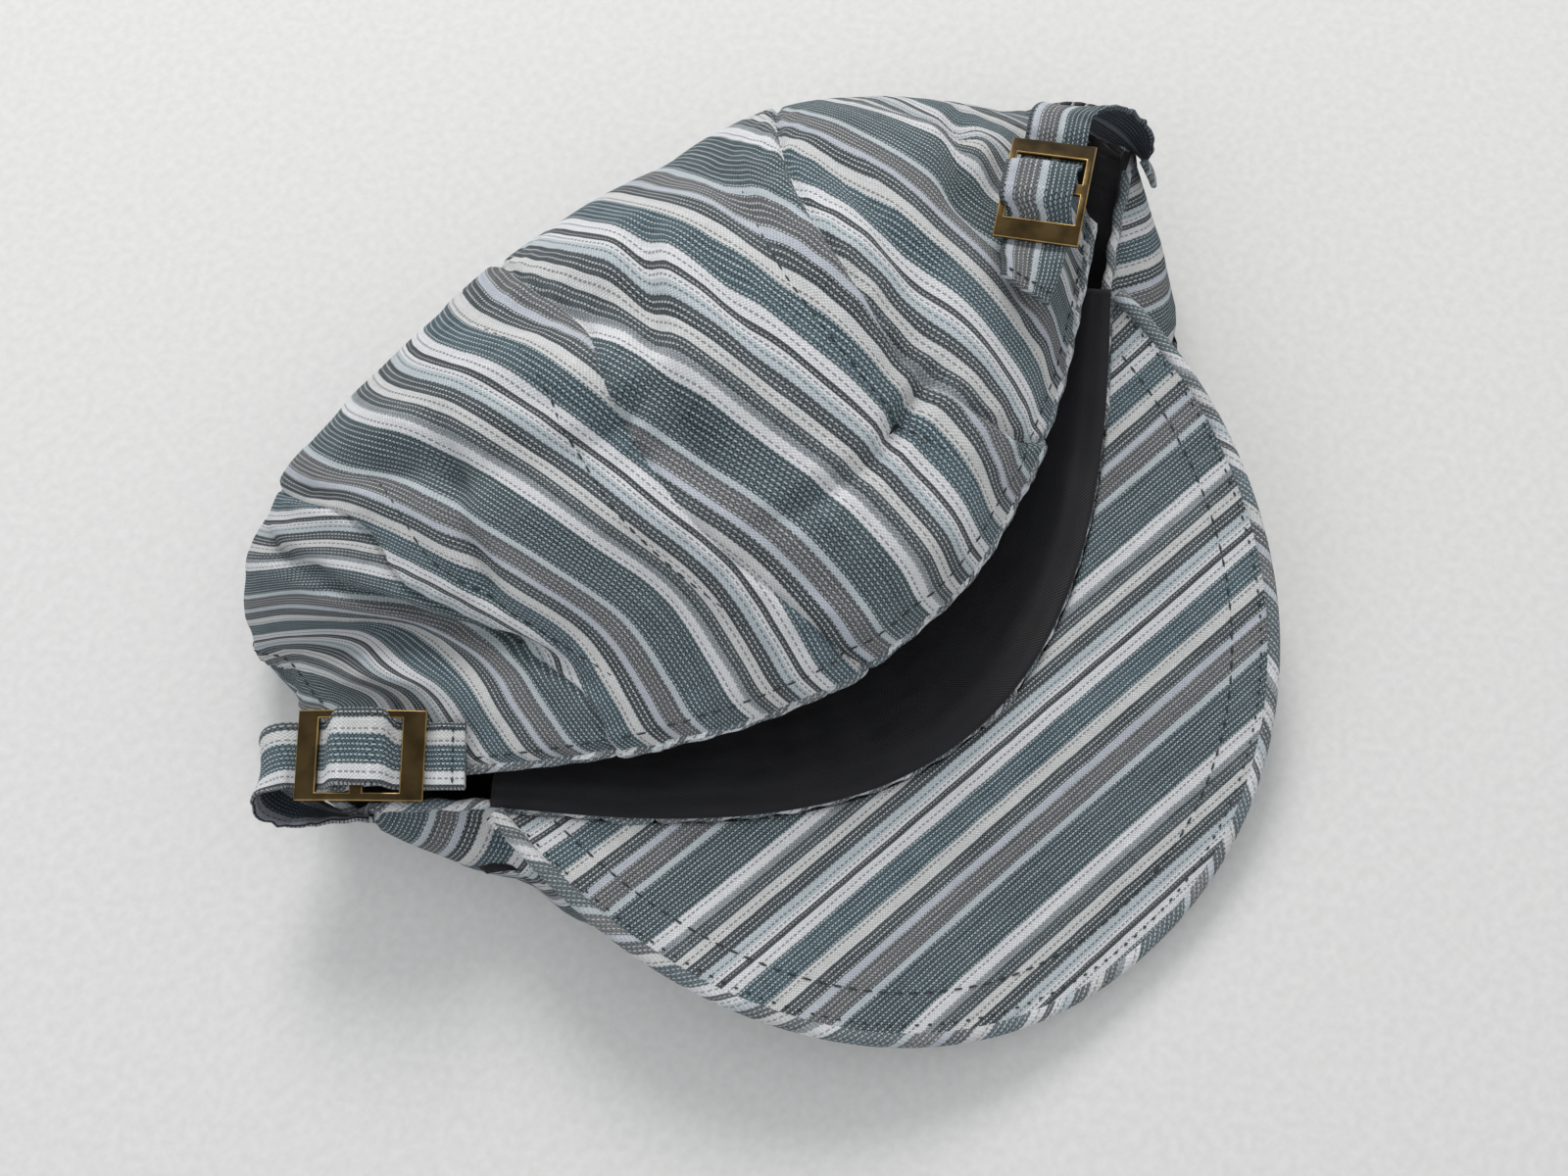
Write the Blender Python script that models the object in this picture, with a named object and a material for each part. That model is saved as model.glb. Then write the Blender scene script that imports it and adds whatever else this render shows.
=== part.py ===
"""A soft striped cloth cap with a short peak and a buckled strap at each side, lying on its front.

Metres, +Z up. The peak points along -Y and the back of the crown faces up. The front of the crown and the
middle of its top lie flat on Z = 0. A place on the crown is (seam, reach): seam counts the eight panel seams
round the hem, 0 at the right side, 2 at the centre back, 4 at the left side and 6 at the centre front, and
reach is the share of the way from the hem to the middle of the top.
"""

import math

import bmesh
import bpy
import numpy as np

# Crown
CROWN_WIDTH = 0.256  # across the sides, as it lies
CROWN_LENGTH = 0.185  # from the fold under the peak to the back
CROWN_HEIGHT = 0.070
CROWN_CLOTH = 0.0018
CROWN_X = -0.00257
CROWN_Y = 0.00491
CROWN_SKEW = 0.0025  # how far back the right side of the hem lies, and the left side forward
CORNER_OUT = 0.0042  # how far the crown stands out at each side of its front
CORNER_FORWARD = 0.0039
CORNER_FROM = {"front": 0.72, "back": 0.93}  # shares of the half width where the corners start
CORNER_FADE = 0.35  # the reach where they have faded out
PANEL_LENGTH = 0.195  # along a seam, hem to top
PANEL_WIDTH = 0.072  # at the hem
NOTCH_WIDTH = {"right": 0.038, "left": 0.026}
NOTCH_DEPTH = {"right": 0.026, "left": 0.017}
NOTCH_PLACE = {"right": 0.10, "left": -0.06}  # of its middle from the side towards the back, in panels
SEAM_DEPTH = 0.0006

# Peak
PEAK_WIDTH = 0.194
PEAK_SHIFT = 0.0045  # of its middle to the right of the crown's
PEAK_DEPTH = 0.1175  # from its corners to its tip
PEAK_THICK = 0.003
PEAK_TIP_LIFT = 0.0045
PEAK_CURL = 0.024  # how far its corners rise above its tip
PEAK_CORNER = 0.003  # width of the peak where it ends at the hem
PEAK_FULLNESS = 2.10  # power of the superellipse of its edge

# Sweatband
BAND_WIDTH = 0.031
BAND_THICK = 0.0012
BAND_DROP = 0.010  # how far the front half slopes down into the crown
BAND_END = 0.85  # radians round the front hem from its middle
BAND_TAPER = 0.9  # of the front half towards its ends
BACK_BAND_END = 0.50  # in panels from each side

# Straps and buckles
STRAP_WIDTH = 0.0148
STRAP_THICK = 0.0016
STRAP_STRAIGHT = {"right": 0.0490, "left": 0.0390}  # from the sewn end to where the loop starts
STRAP_LOOP = {"right": (0.010, 0.012), "left": (0.011, 0.028)}  # how far its two ends draw the loop out
STRAP_TILT = {"right": 0.70, "left": 0.12}  # radians that a buckle's edge by the hem is raised
STRAP_LEAN = {"right": -0.45, "left": 0.10}  # radians that a loop's end leans out at its top
STRAP_FACING = {"right": -0.75, "left": -2.27}  # the way a loop's end faces, in radians round from +X
BUCKLE_LENGTH = 0.0285
BUCKLE_THICK = 0.0011
BUCKLE_BOW = 0.0020
BAR_WIDTH = 0.0050
MIDDLE_BAR = 0.0030
RAIL_WIDTH = 0.0018
RAIL_ROOM = 0.0007  # between the strap's edge and a rail

GAP = 0.0003  # between pieces that touch

PANELS = 8
BACK_PANELS = 4

# Rings of the lying crown, hem to top. half_width is a share of half CROWN_WIDTH, side_z, back_z and front_z of
# CROWN_HEIGHT, and the other lengths of CROWN_LENGTH. Each ring is two arcs from its side points, one over the
# back and one under the front. The powers set how pointed each arc is, front_lean moves the front's middle to
# the right, twist moves the back seams to the left and spread moves them towards the sides, both in panels.
# What would lie below the floor is flattened on it.
RING_COLUMNS = (
    "reach", "half_width", "lean", "side_y", "side_z", "back_y", "back_z",
    "front_y", "front_z", "back_power", "front_power", "front_lean", "twist", "spread",
)
CROWN_RINGS = (
    (0.00, 1.01, 0.024, 0.178, 0.44, -0.172, 0.57, -0.299, 0.290, 2.75, 2.60, 0.000, 0.05, 0.00),
    (0.03, 1.01, 0.026, 0.190, 0.41, -0.146, 0.64, -0.299, 0.225, 2.70, 2.47, 0.000, 0.07, 0.01),
    (0.07, 1.00, 0.042, 0.220, 0.38, -0.103, 0.73, -0.335, 0.170, 2.55, 1.60, -0.030, 0.10, 0.02),
    (0.14, 0.97, 0.062, 0.256, 0.33, -0.011, 0.87, -0.425, 0.115, 2.25, 1.20, -0.056, 0.15, 0.04),
    (0.22, 0.955, 0.060, 0.290, 0.28, 0.108, 0.97, -0.490, 0.050, 1.90, 1.15, -0.066, 0.20, 0.08),
    (0.32, 0.925, 0.045, 0.319, 0.23, 0.249, 1.00, -0.450, -0.020, 1.50, 1.12, -0.060, 0.22, 0.14),
    (0.42, 0.895, 0.020, 0.344, 0.18, 0.380, 0.91, -0.355, -0.080, 1.15, 1.10, -0.040, 0.20, 0.20),
    (0.52, 0.875, -0.012, 0.375, 0.13, 0.484, 0.75, -0.250, -0.110, 0.90, 1.00, -0.020, 0.17, 0.27),
    (0.60, 0.835, -0.020, 0.397, 0.08, 0.543, 0.59, -0.165, -0.120, 0.78, 1.00, 0.000, 0.14, 0.32),
    (0.67, 0.79, -0.022, 0.408, 0.03, 0.576, 0.42, -0.100, -0.120, 0.75, 1.00, 0.000, 0.12, 0.34),
    (0.74, 0.70, -0.022, 0.408, -0.01, 0.570, 0.24, -0.030, -0.120, 0.75, 1.00, 0.000, 0.10, 0.32),
    (0.82, 0.57, -0.020, 0.392, -0.05, 0.518, 0.07, 0.043, -0.120, 0.80, 1.00, 0.000, 0.07, 0.25),
    (0.90, 0.36, -0.012, 0.345, -0.08, 0.418, -0.05, 0.130, -0.120, 0.90, 1.00, 0.000, 0.04, 0.12),
    (1.00, 0.00, 0.000, 0.260, -0.12, 0.260, -0.12, 0.260, -0.120, 1.00, 1.00, 0.000, 0.00, 0.00),
)

# Folds of the crown's back: the two ends of each as (seam, reach), how wide it is as a share of PANEL_WIDTH
# and how deep as a share of CROWN_HEIGHT. A negative depth is a ridge.
FOLD_FADE = 0.45  # folds fade out within this many panels of the sides
FOLD_COLUMNS = ("seam_a", "reach_a", "seam_b", "reach_b", "width", "depth")
CROWN_FOLDS = (
    (3.95, 0.42, 3.05, 0.14, 0.20, 0.080),
    (3.75, 0.24, 3.20, 0.10, 0.22, -0.045),
    (2.75, 0.52, 2.62, 0.36, 0.13, 0.090),
    (2.62, 0.36, 1.95, 0.20, 0.16, 0.060),
    (2.10, 0.50, 1.95, 0.36, 0.14, 0.080),
    (1.30, 0.24, 1.75, 0.11, 0.13, 0.060),
    (1.05, 0.25, 0.55, 0.22, 0.16, 0.050),
    (2.00, 0.10, 1.70, 0.05, 0.18, -0.060),
    (0.80, 0.52, 0.55, 0.30, 0.20, 0.045),
    (1.50, 0.62, 1.40, 0.38, 0.20, 0.040),
)

# Each strap runs straight from its sewn end on the crown's back, through its buckle's middle, to where its loop
# starts. The rows are those first two places: seam counted from the side towards the back, reach, and lift off
# the cloth as a share of STRAP_WIDTH. The loop goes round the notch and ends outside the crown's front, at
# STRAP_END panels past the side, STRAP_END_LIFT off the cloth and STRAP_END_RISE above the hem. The strap
# follows the buckle's bow out to WEAVE_FULL and is back on its own line at WEAVE_END, both shares of
# BUCKLE_LENGTH from the buckle's middle.
STRAP_COLUMNS = ("seam", "reach", "lift")
STRAP_ROUTES = {
    "right": ((1.106, 0.147, 0.24), (0.815, 0.188, 0.45)),
    "left": ((0.629, 0.035, 0.12), (0.311, 0.042, 0.31)),
}
STRAP_END = {"right": 0.14, "left": 0.22}
STRAP_END_LIFT = 0.0032
STRAP_END_RISE = {"right": 0.005, "left": 0.0}
WEAVE_FULL = 0.507
WEAVE_END = 0.64


def column(rows, names, name):
    return np.array([row[names.index(name)] for row in rows])


def eased(share):
    share = np.clip(share, 0, 1)
    return share**2 * (3 - 2 * share)


def smooth_through(xs, ys, at):
    """A cubic curve through the rows of a table, with each row's slope taken from its neighbours."""
    slopes = np.gradient(ys, xs)
    i = np.clip(np.searchsorted(xs, at, side="right") - 1, 0, len(xs) - 2)
    step = xs[i + 1] - xs[i]
    f = (at - xs[i]) / step
    start = (1 + 2 * f) * (1 - f) ** 2 * ys[i] + f * (1 - f) ** 2 * step * slopes[i]
    end = f * f * (3 - 2 * f) * ys[i + 1] + f * f * (f - 1) * step * slopes[i + 1]
    return start + end


def ring_sizes(reach):
    """The named columns of CROWN_RINGS at this reach, in metres."""
    xs = column(CROWN_RINGS, RING_COLUMNS, "reach")
    unit = {
        "half_width": CROWN_WIDTH / 2, "lean": CROWN_LENGTH, "side_y": CROWN_LENGTH, "side_z": CROWN_HEIGHT,
        "back_y": CROWN_LENGTH, "back_z": CROWN_HEIGHT, "front_y": CROWN_LENGTH, "front_z": CROWN_HEIGHT,
        "front_lean": CROWN_LENGTH, "back_power": 1.0, "front_power": 1.0, "twist": 1.0, "spread": 1.0,
        "reach": 1.0,
    }
    return {
        name: size * smooth_through(xs, column(CROWN_RINGS, RING_COLUMNS, name), reach)
        for name, size in unit.items()
    }


def ring_arc(sizes, angle, half):
    """A point of a ring's back or front arc. The angle runs from the right side, pi / 2, to the left, -pi / 2."""
    weight = np.maximum(np.cos(angle), 0.0) ** sizes[half + "_power"]
    lean = sizes["lean"] + (sizes["front_lean"] * weight if half == "front" else 0)
    x = CROWN_X + lean + sizes["half_width"] * np.sin(angle)
    y = CROWN_Y + sizes["side_y"] + (sizes[half + "_y"] - sizes["side_y"]) * weight
    z = sizes["side_z"] + (sizes[half + "_z"] - sizes["side_z"]) * weight
    y = y + CROWN_SKEW * np.sin(angle) * np.maximum(1 - sizes["reach"] / 0.5, 0)
    corner = eased((np.abs(np.sin(angle)) - CORNER_FROM[half]) / (1 - CORNER_FROM[half]))
    corner = corner * np.maximum(1 - sizes["reach"] / CORNER_FADE, 0)
    return np.stack([x + np.sign(angle) * CORNER_OUT * corner, y - CORNER_FORWARD * corner, z], -1)


def arc_angles(half, samples=40):
    """For rings from hem to top, the angle at each even share of the arc's length, so that panels are as wide."""
    shares = np.linspace(0, 1, samples + 1)
    angles = np.linspace(math.pi / 2, -math.pi / 2, 4 * samples + 1)
    rows = []
    for reach in np.linspace(0, 1, samples + 1):
        sizes = ring_sizes(np.full(angles.shape, min(reach, 0.99)))
        steps = np.linalg.norm(np.diff(ring_arc(sizes, angles, half), axis=0), axis=1)
        rows.append(np.interp(shares, np.append(0, np.cumsum(steps)) / steps.sum(), angles))
    return np.array(rows)


ARC_ANGLES = {half: arc_angles(half) for half in ("back", "front")}


def between(table, row, place):
    """Bilinear reading of a table whose rows and columns both run from 0 to 1."""
    rows, places = table.shape[0] - 1, table.shape[1] - 1
    i = np.clip((row * rows).astype(int), 0, rows - 1)
    j = np.clip((place * places).astype(int), 0, places - 1)
    f, g = row * rows - i, place * places - j
    low = table[i, j] * (1 - g) + table[i, j + 1] * g
    high = table[i + 1, j] * (1 - g) + table[i + 1, j + 1] * g
    return low * (1 - f) + high * f


def crown_form(seam, reach):
    """The crown's outer surface without folds or floor."""
    seam, reach = np.broadcast_arrays(np.asarray(seam, float), np.asarray(reach, float))
    turn = np.mod(seam, PANELS)
    sizes = ring_sizes(reach)
    share = np.clip(turn / BACK_PANELS, 0, 1)
    moved = sizes["twist"] * np.sin(math.pi * share) ** 2 - sizes["spread"] * np.sin(2 * math.pi * share)
    share = share + moved / BACK_PANELS
    back = ring_arc(sizes, between(ARC_ANGLES["back"], reach, share), "back")
    share = np.clip((PANELS - turn) / BACK_PANELS, 0, 1)
    front = ring_arc(sizes, between(ARC_ANGLES["front"], reach, share), "front")
    return np.where((turn <= BACK_PANELS)[..., None], back, front)


def crown_normal(seam, reach, step=0.01):
    """The direction out of the crown."""
    along = crown_form(seam, np.minimum(reach + step, 0.995)) - crown_form(seam, np.maximum(reach - step, 0.0))
    round_it = crown_form(seam + step, reach) - crown_form(seam - step, reach)
    normal = np.cross(round_it, along)
    return -normal / np.maximum(np.linalg.norm(normal, axis=-1, keepdims=True), 1e-12)


def fold_depth(seam, reach):
    """How far the folds and the seams push the cloth in, in metres."""
    x, y = seam * PANEL_WIDTH, reach * PANEL_LENGTH
    total = np.zeros(np.broadcast(seam, reach).shape)
    for row in CROWN_FOLDS:
        fold = dict(zip(FOLD_COLUMNS, row))
        ax, ay = fold["seam_a"] * PANEL_WIDTH, fold["reach_a"] * PANEL_LENGTH
        bx, by = fold["seam_b"] * PANEL_WIDTH, fold["reach_b"] * PANEL_LENGTH
        length = math.hypot(bx - ax, by - ay)
        along = np.clip(((x - ax) * (bx - ax) + (y - ay) * (by - ay)) / length**2, 0, 1)
        away = np.hypot(x - ax - along * (bx - ax), y - ay - along * (by - ay)) / (fold["width"] * PANEL_WIDTH)
        swell = np.sin(math.pi * (0.12 + 0.76 * along))
        total += fold["depth"] * CROWN_HEIGHT * (1 - away**2) * np.exp(-(away**2)) * swell
    side_away = np.minimum(np.abs(seam), np.abs(seam - BACK_PANELS)) / FOLD_FADE
    total *= np.minimum(side_away, 1) ** 2
    seam_away = np.abs(seam - np.round(seam)) * PANEL_WIDTH / (0.05 * PANEL_WIDTH)
    return total + SEAM_DEPTH * np.exp(-(seam_away**2))


def crown_point(seam, reach):
    """The crown's outer surface, with its folds, flattened where it meets the floor."""
    point = crown_form(seam, reach) - crown_normal(seam, reach) * fold_depth(seam, reach)[..., None]
    point[..., 2] = np.maximum(point[..., 2], 0.0)
    return point


def hem_reach(seam):
    """Where the cloth starts: at the hem, or further in round each side's notch."""
    start = np.zeros(np.shape(seam))
    right, left = NOTCH_PLACE["right"], NOTCH_PLACE["left"]
    for side, middle in (("right", right), ("left", BACK_PANELS - left), ("right", PANELS + right)):
        away = np.abs(seam - middle) * PANEL_WIDTH / (NOTCH_WIDTH[side] / 2)
        start += NOTCH_DEPTH[side] / PANEL_LENGTH * np.sqrt(np.maximum(1 - away**4, 0))
    return start


def new_object(name, mesh, material):
    obj = bpy.data.objects.new(name, mesh)
    bpy.context.scene.collection.objects.link(obj)
    mesh.materials.append(material)
    mesh.shade_smooth()
    return obj


def material(name, colour, roughness, metallic=0.0):
    made = bpy.data.materials.new(name)
    made.use_nodes = True
    shader = made.node_tree.nodes["Principled BSDF"]
    shader.inputs["Base Color"].default_value = (*colour, 1)
    shader.inputs["Roughness"].default_value = roughness
    shader.inputs["Metallic"].default_value = metallic
    return made


def sheet(points, closed=False, pole=None):
    """A mesh over rows of points. A closed sheet joins its last column to its first, and a pole ends its rows."""
    work = bmesh.new()
    rows = [[work.verts.new(point) for point in row] for row in points]
    for near, far in zip(rows, rows[1:]):
        count = len(near)
        for j in range(count if closed else count - 1):
            k = (j + 1) % count
            work.faces.new((near[j], far[j], far[k], near[k]))
    if pole is not None:
        top = work.verts.new(pole)
        last = rows[-1]
        for j, vert in enumerate(last):
            work.faces.new((top, last[(j + 1) % len(last)], vert))
    mesh = bpy.data.meshes.new("sheet")
    work.to_mesh(mesh)
    work.free()
    return mesh


def thicken(obj, thickness):
    """A wall on the side of the sheet that its faces turn away from."""
    wall = obj.modifiers.new("Wall", "SOLIDIFY")
    wall.thickness = thickness
    wall.offset = -1
    wall.use_even_offset = False
    return obj


def seam_places(per_panel):
    """Columns round the crown, closer together by the notches."""
    even = np.arange(per_panel) / per_panel
    close = even**1.5
    far = 1 - (1 - even) ** 1.5
    spread = {0: close, 3: far, 4: close, 7: far}
    return np.concatenate([panel + spread.get(panel, even) for panel in range(PANELS)])


def make_crown(cloth):
    seams = seam_places(per_panel=7)
    rows = []
    for share in np.linspace(0, 1, 37)[:-1] ** 1.1:
        start = hem_reach(seams)
        rows.append(crown_point(seams, start + (1 - start) * share))
    middle = crown_point(np.array([0.0]), np.array([1.0]))[0]
    return thicken(new_object("crown", sheet(rows, closed=True, pole=middle), cloth), CROWN_CLOTH)


def hem_point(across):
    """The front hem at this share of half the crown's width, from -1 at the left to 1 at the right."""
    angle = np.arcsin(np.clip(across, -1.0, 1.0))
    return ring_arc(ring_sizes(np.zeros(np.shape(across))), angle, "front")


def hem_outward(across, step=0.01):
    """The level direction out of the front hem."""
    along = hem_point(np.minimum(across + step, 1.0)) - hem_point(np.maximum(across - step, -1.0))
    out = np.stack([along[..., 1], -along[..., 0], np.zeros(along.shape[:-1])], -1)
    return out / np.linalg.norm(out, axis=-1, keepdims=True)


def peak_point(across, out):
    """The face of the peak that is turned up: across from -1 to 1, and out from the hem, 0, to the edge, 1."""
    base_share = (PEAK_WIDTH / 2 - PEAK_CORNER) / (CROWN_WIDTH / 2)
    base = hem_point(across * base_share) + hem_outward(across * base_share) * 3 * GAP
    angle = across * math.pi / 2
    power = 2 / PEAK_FULLNESS
    x = CROWN_X + PEAK_SHIFT + PEAK_WIDTH / 2 * np.sign(angle) * np.abs(np.sin(angle)) ** power
    left, right = hem_point(np.array([-base_share, base_share]))[:, 1]
    corner_y = (right + left) / 2 + (right - left) / 2 * np.sin(angle)
    y = corner_y - PEAK_DEPTH * np.cos(angle) ** power
    z = PEAK_TIP_LIFT + PEAK_THICK + PEAK_CURL * np.abs(np.sin(angle)) ** (2 * power)
    edge = np.stack([x, y, z], -1)
    return base * (1 - out)[..., None] + edge * out[..., None]


def make_peak(cloth):
    across, out = np.meshgrid(np.linspace(-1, 1, 29), np.linspace(0, 1, 7))
    return thicken(new_object("peak", sheet(peak_point(across, out)), cloth), PEAK_THICK)


def make_sweatband_front(cloth):
    across = np.sin(np.linspace(-1, 1, 29) * BAND_END)
    hem, out = hem_point(across), hem_outward(across)
    lift = np.array([0, 0, 1])
    level = 2 * GAP + BAND_THICK
    steps = ((0.0, level), (0.20, level), (0.5, level - 0.36 * BAND_DROP), (1.0, level - BAND_DROP))
    wide = BAND_WIDTH * (1 - BAND_TAPER * across**4)
    rows = [hem - out * (share * wide)[:, None] + lift * height for share, height in steps]
    return thicken(new_object("sweatband_front", sheet(rows[::-1]), cloth), BAND_THICK)


def make_sweatband_back(cloth):
    seams = np.linspace(BACK_BAND_END, BACK_PANELS - BACK_BAND_END, 27)
    rows = []
    for share in (0.02, 0.35, 0.68, 1.0):
        reach = np.full(seams.shape, share * BAND_WIDTH / PANEL_LENGTH)
        rows.append(crown_point(seams, reach) - crown_normal(seams, reach) * (CROWN_CLOTH + 5 * GAP))
    return thicken(new_object("sweatband_back", sheet(rows), cloth), BAND_THICK)


def along(line):
    steps = np.gradient(line, axis=0)
    return steps / np.linalg.norm(steps, axis=1, keepdims=True)


def strap_route(side):
    """The middle line of a strap, the direction across it and the length run from the buckle's middle."""
    hemward = -1 if side == "right" else 1  # whether the direction across points to the hem
    seam, reach, lift = (column(STRAP_ROUTES[side], STRAP_COLUMNS, name) for name in STRAP_COLUMNS)
    seam = seam if side == "right" else BACK_PANELS - seam
    normal = crown_normal(seam, reach)
    ends = crown_form(seam, reach) + normal * (lift * STRAP_WIDTH + STRAP_THICK / 2 + 2 * GAP)[:, None]
    start = ends[0]
    buckle_run = np.linalg.norm(ends[1] - start)
    onward = (ends[1] - start) / buckle_run
    top = start + onward * STRAP_STRAIGHT[side]

    end_seam = np.array(PANELS - STRAP_END[side] if side == "right" else BACK_PANELS + STRAP_END[side])
    outward = np.array([math.cos(STRAP_FACING[side]), math.sin(STRAP_FACING[side]), 0])
    upward = np.array([0, 0, 1])
    end_wide = hemward * (upward * math.cos(STRAP_LEAN[side]) + outward * math.sin(STRAP_LEAN[side]))
    end = crown_form(end_seam, 0.0) + outward * STRAP_END_LIFT + upward * STRAP_END_RISE[side]
    end -= hemward * end_wide * STRAP_WIDTH / 2
    end_onward = hemward * np.cross(upward, outward)

    t = np.linspace(0, 1, 41)[:, None]
    leaving, arriving = STRAP_LOOP[side]
    curve = (1 - t) ** 3 * top + 3 * (1 - t) ** 2 * t * (top + onward * leaving)
    curve += 3 * (1 - t) * t**2 * (end - end_onward * arriving) + t**3 * end
    places = np.concatenate([[start], curve])
    length = np.append(0, np.cumsum(np.linalg.norm(np.diff(places, axis=0), axis=1)))
    run = np.linspace(0, length[-1], 61)
    line = np.stack([np.interp(run, length, places[:, k]) for k in range(3)], -1)

    flat = np.cross(normal[0], onward)
    flat /= np.linalg.norm(flat)
    raised = flat * math.cos(STRAP_TILT[side]) + hemward * np.cross(onward, flat) * math.sin(STRAP_TILT[side])
    settled = eased(run / (buckle_run - BUCKLE_LENGTH / 2))[:, None]
    turned = eased((run - STRAP_STRAIGHT[side]) / (run[-1] - STRAP_STRAIGHT[side]))[:, None]
    wide = flat * (1 - settled) + raised * settled
    wide = wide * (1 - turned) + end_wide * turned
    return line, squared(wide, along(line)), run - buckle_run


def squared(wide, forward):
    """The wide directions turned square to the forward ones, at unit length."""
    wide = wide - forward * (wide * forward).sum(1, keepdims=True)
    return wide / np.linalg.norm(wide, axis=1, keepdims=True)


def buckle_frame(side):
    """The buckle's middle and its directions along the strap, across it and out of it."""
    line, wide, run = strap_route(side)
    forward = along(line)
    i = int(np.argmin(np.abs(run)))
    return line[i], forward[i], wide[i], np.cross(forward[i], wide[i])


def bow(u):
    return BUCKLE_BOW * (1 - (2 * u / BUCKLE_LENGTH) ** 2)


def weave(u):
    """How the strap passes under the buckle's end bars and over its middle bar."""
    clear = (STRAP_THICK + BUCKLE_THICK) / 2 + GAP
    wave = np.cos(np.clip(u / (BUCKLE_LENGTH / 2 - BAR_WIDTH / 2), -1.2, 1.2) * math.pi)
    return clear * np.clip(1.5 * wave, -1, 1)


def make_strap(side, cloth):
    line, wide, run = strap_route(side)
    middle, forward, _, out = buckle_frame(side)
    u = (line - middle) @ forward
    near = eased((WEAVE_END - np.abs(run) / BUCKLE_LENGTH) / (WEAVE_END - WEAVE_FULL))
    on_buckle = middle + forward * u[:, None] + out * (bow(u) + weave(u))[:, None]
    line = line * (1 - near)[:, None] + on_buckle * near[:, None]
    wide = squared(wide, along(line))
    up = np.cross(along(line), wide) * STRAP_THICK / 2
    side_to_side = wide * STRAP_WIDTH / 2
    edges = (side_to_side - up, -side_to_side - up, up - side_to_side, side_to_side + up)
    work = bmesh.new()
    rings = [[work.verts.new(line[i] + edge[i]) for edge in edges] for i in range(len(line))]
    for near_ring, far_ring in zip(rings, rings[1:]):
        for k in range(4):
            work.faces.new((near_ring[k], far_ring[k], far_ring[(k + 1) % 4], near_ring[(k + 1) % 4]))
    work.faces.new(rings[0])
    work.faces.new(rings[-1][::-1])
    mesh = bpy.data.meshes.new("strap")
    work.to_mesh(mesh)
    work.free()
    return new_object("strap_" + side, mesh, cloth)


def make_buckle(side, brass):
    """Two end bars and a middle bar between two side rails, bowed along the strap."""
    middle, forward, across, out = buckle_frame(side)
    half, window = BUCKLE_LENGTH / 2, BUCKLE_LENGTH / 2 - BAR_WIDTH
    us = sorted({k * v for k in (-1, 1) for v in (half, window, window * 0.6, MIDDLE_BAR / 2)})
    inner = STRAP_WIDTH / 2 + RAIL_ROOM
    vs = (-inner - RAIL_WIDTH, -inner, inner, inner + RAIL_WIDTH)
    work = bmesh.new()
    verts = [[work.verts.new(middle + forward * u + across * v + out * bow(u)) for v in vs] for u in us]
    for i in range(len(us) - 1):
        open_here = MIDDLE_BAR / 2 < abs(us[i] + us[i + 1]) / 2 < window
        for j in range(3):
            if not (open_here and j == 1):
                work.faces.new((verts[i][j], verts[i + 1][j], verts[i + 1][j + 1], verts[i][j + 1]))
    mesh = bpy.data.meshes.new("buckle")
    work.to_mesh(mesh)
    work.free()
    obj = new_object("buckle_" + side, mesh, brass)
    plate = thicken(obj, BUCKLE_THICK).modifiers["Wall"]
    plate.offset = 0
    edges = obj.modifiers.new("Edges", "BEVEL")
    edges.width = BUCKLE_THICK * 0.25
    edges.segments = 1
    edges.limit_method = "ANGLE"
    edges.angle_limit = math.radians(50)
    return obj


def main():
    for obj in list(bpy.data.objects):
        bpy.data.objects.remove(obj)
    striped = material("Striped cloth", (0.30, 0.36, 0.38), 0.9)
    black = material("Black sweatband", (0.01, 0.01, 0.013), 0.75)
    brass = material("Antique brass", (0.20, 0.14, 0.06), 0.35, 1.0)
    make_crown(striped)
    make_peak(striped)
    make_sweatband_front(black)
    make_sweatband_back(black)
    for side in ("left", "right"):
        make_strap(side, striped)
        make_buckle(side, brass)


main()
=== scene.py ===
import math

import bmesh
import bpy
import numpy as np
from mathutils import Matrix, Vector, noise


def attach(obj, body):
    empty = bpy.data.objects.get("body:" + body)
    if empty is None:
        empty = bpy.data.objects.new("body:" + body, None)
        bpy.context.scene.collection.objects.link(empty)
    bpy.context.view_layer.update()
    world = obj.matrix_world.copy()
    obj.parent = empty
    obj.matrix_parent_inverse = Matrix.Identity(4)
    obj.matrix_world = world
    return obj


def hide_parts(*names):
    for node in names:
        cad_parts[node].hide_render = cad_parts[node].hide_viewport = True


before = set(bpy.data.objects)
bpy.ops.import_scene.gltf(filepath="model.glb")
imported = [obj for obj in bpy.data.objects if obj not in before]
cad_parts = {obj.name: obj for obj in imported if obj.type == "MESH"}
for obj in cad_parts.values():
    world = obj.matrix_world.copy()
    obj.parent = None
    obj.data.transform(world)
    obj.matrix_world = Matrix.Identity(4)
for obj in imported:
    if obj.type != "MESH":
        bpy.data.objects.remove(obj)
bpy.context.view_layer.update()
print("cap: solids loaded")

# Camera at the photograph's angle
view = {"eye": (-0.07527, -0.07210, 0.35670), "target": (-0.01267, 0.00251, 0.030), "lens": 33.75}

camera = bpy.data.objects.new("camera", bpy.data.cameras.new("camera"))
camera.data.lens = view["lens"]
camera.data.sensor_width = 36
camera.data.clip_start = 0.01
camera.location = view["eye"]
away = Vector(view["target"]) - Vector(view["eye"])
camera.rotation_euler = away.to_track_quat("-Z", "Y").to_euler()
bpy.context.scene.collection.objects.link(camera)
bpy.context.scene.camera = camera


def rgb(red, green, blue):
    # screen colour, 0 to 255, as the linear colour that shaders use
    def channel(c):
        c = c / 255
        return c / 12.92 if c <= 0.04045 else ((c + 0.055) / 1.055) ** 2.4

    return (channel(red), channel(green), channel(blue), 1)


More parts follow.
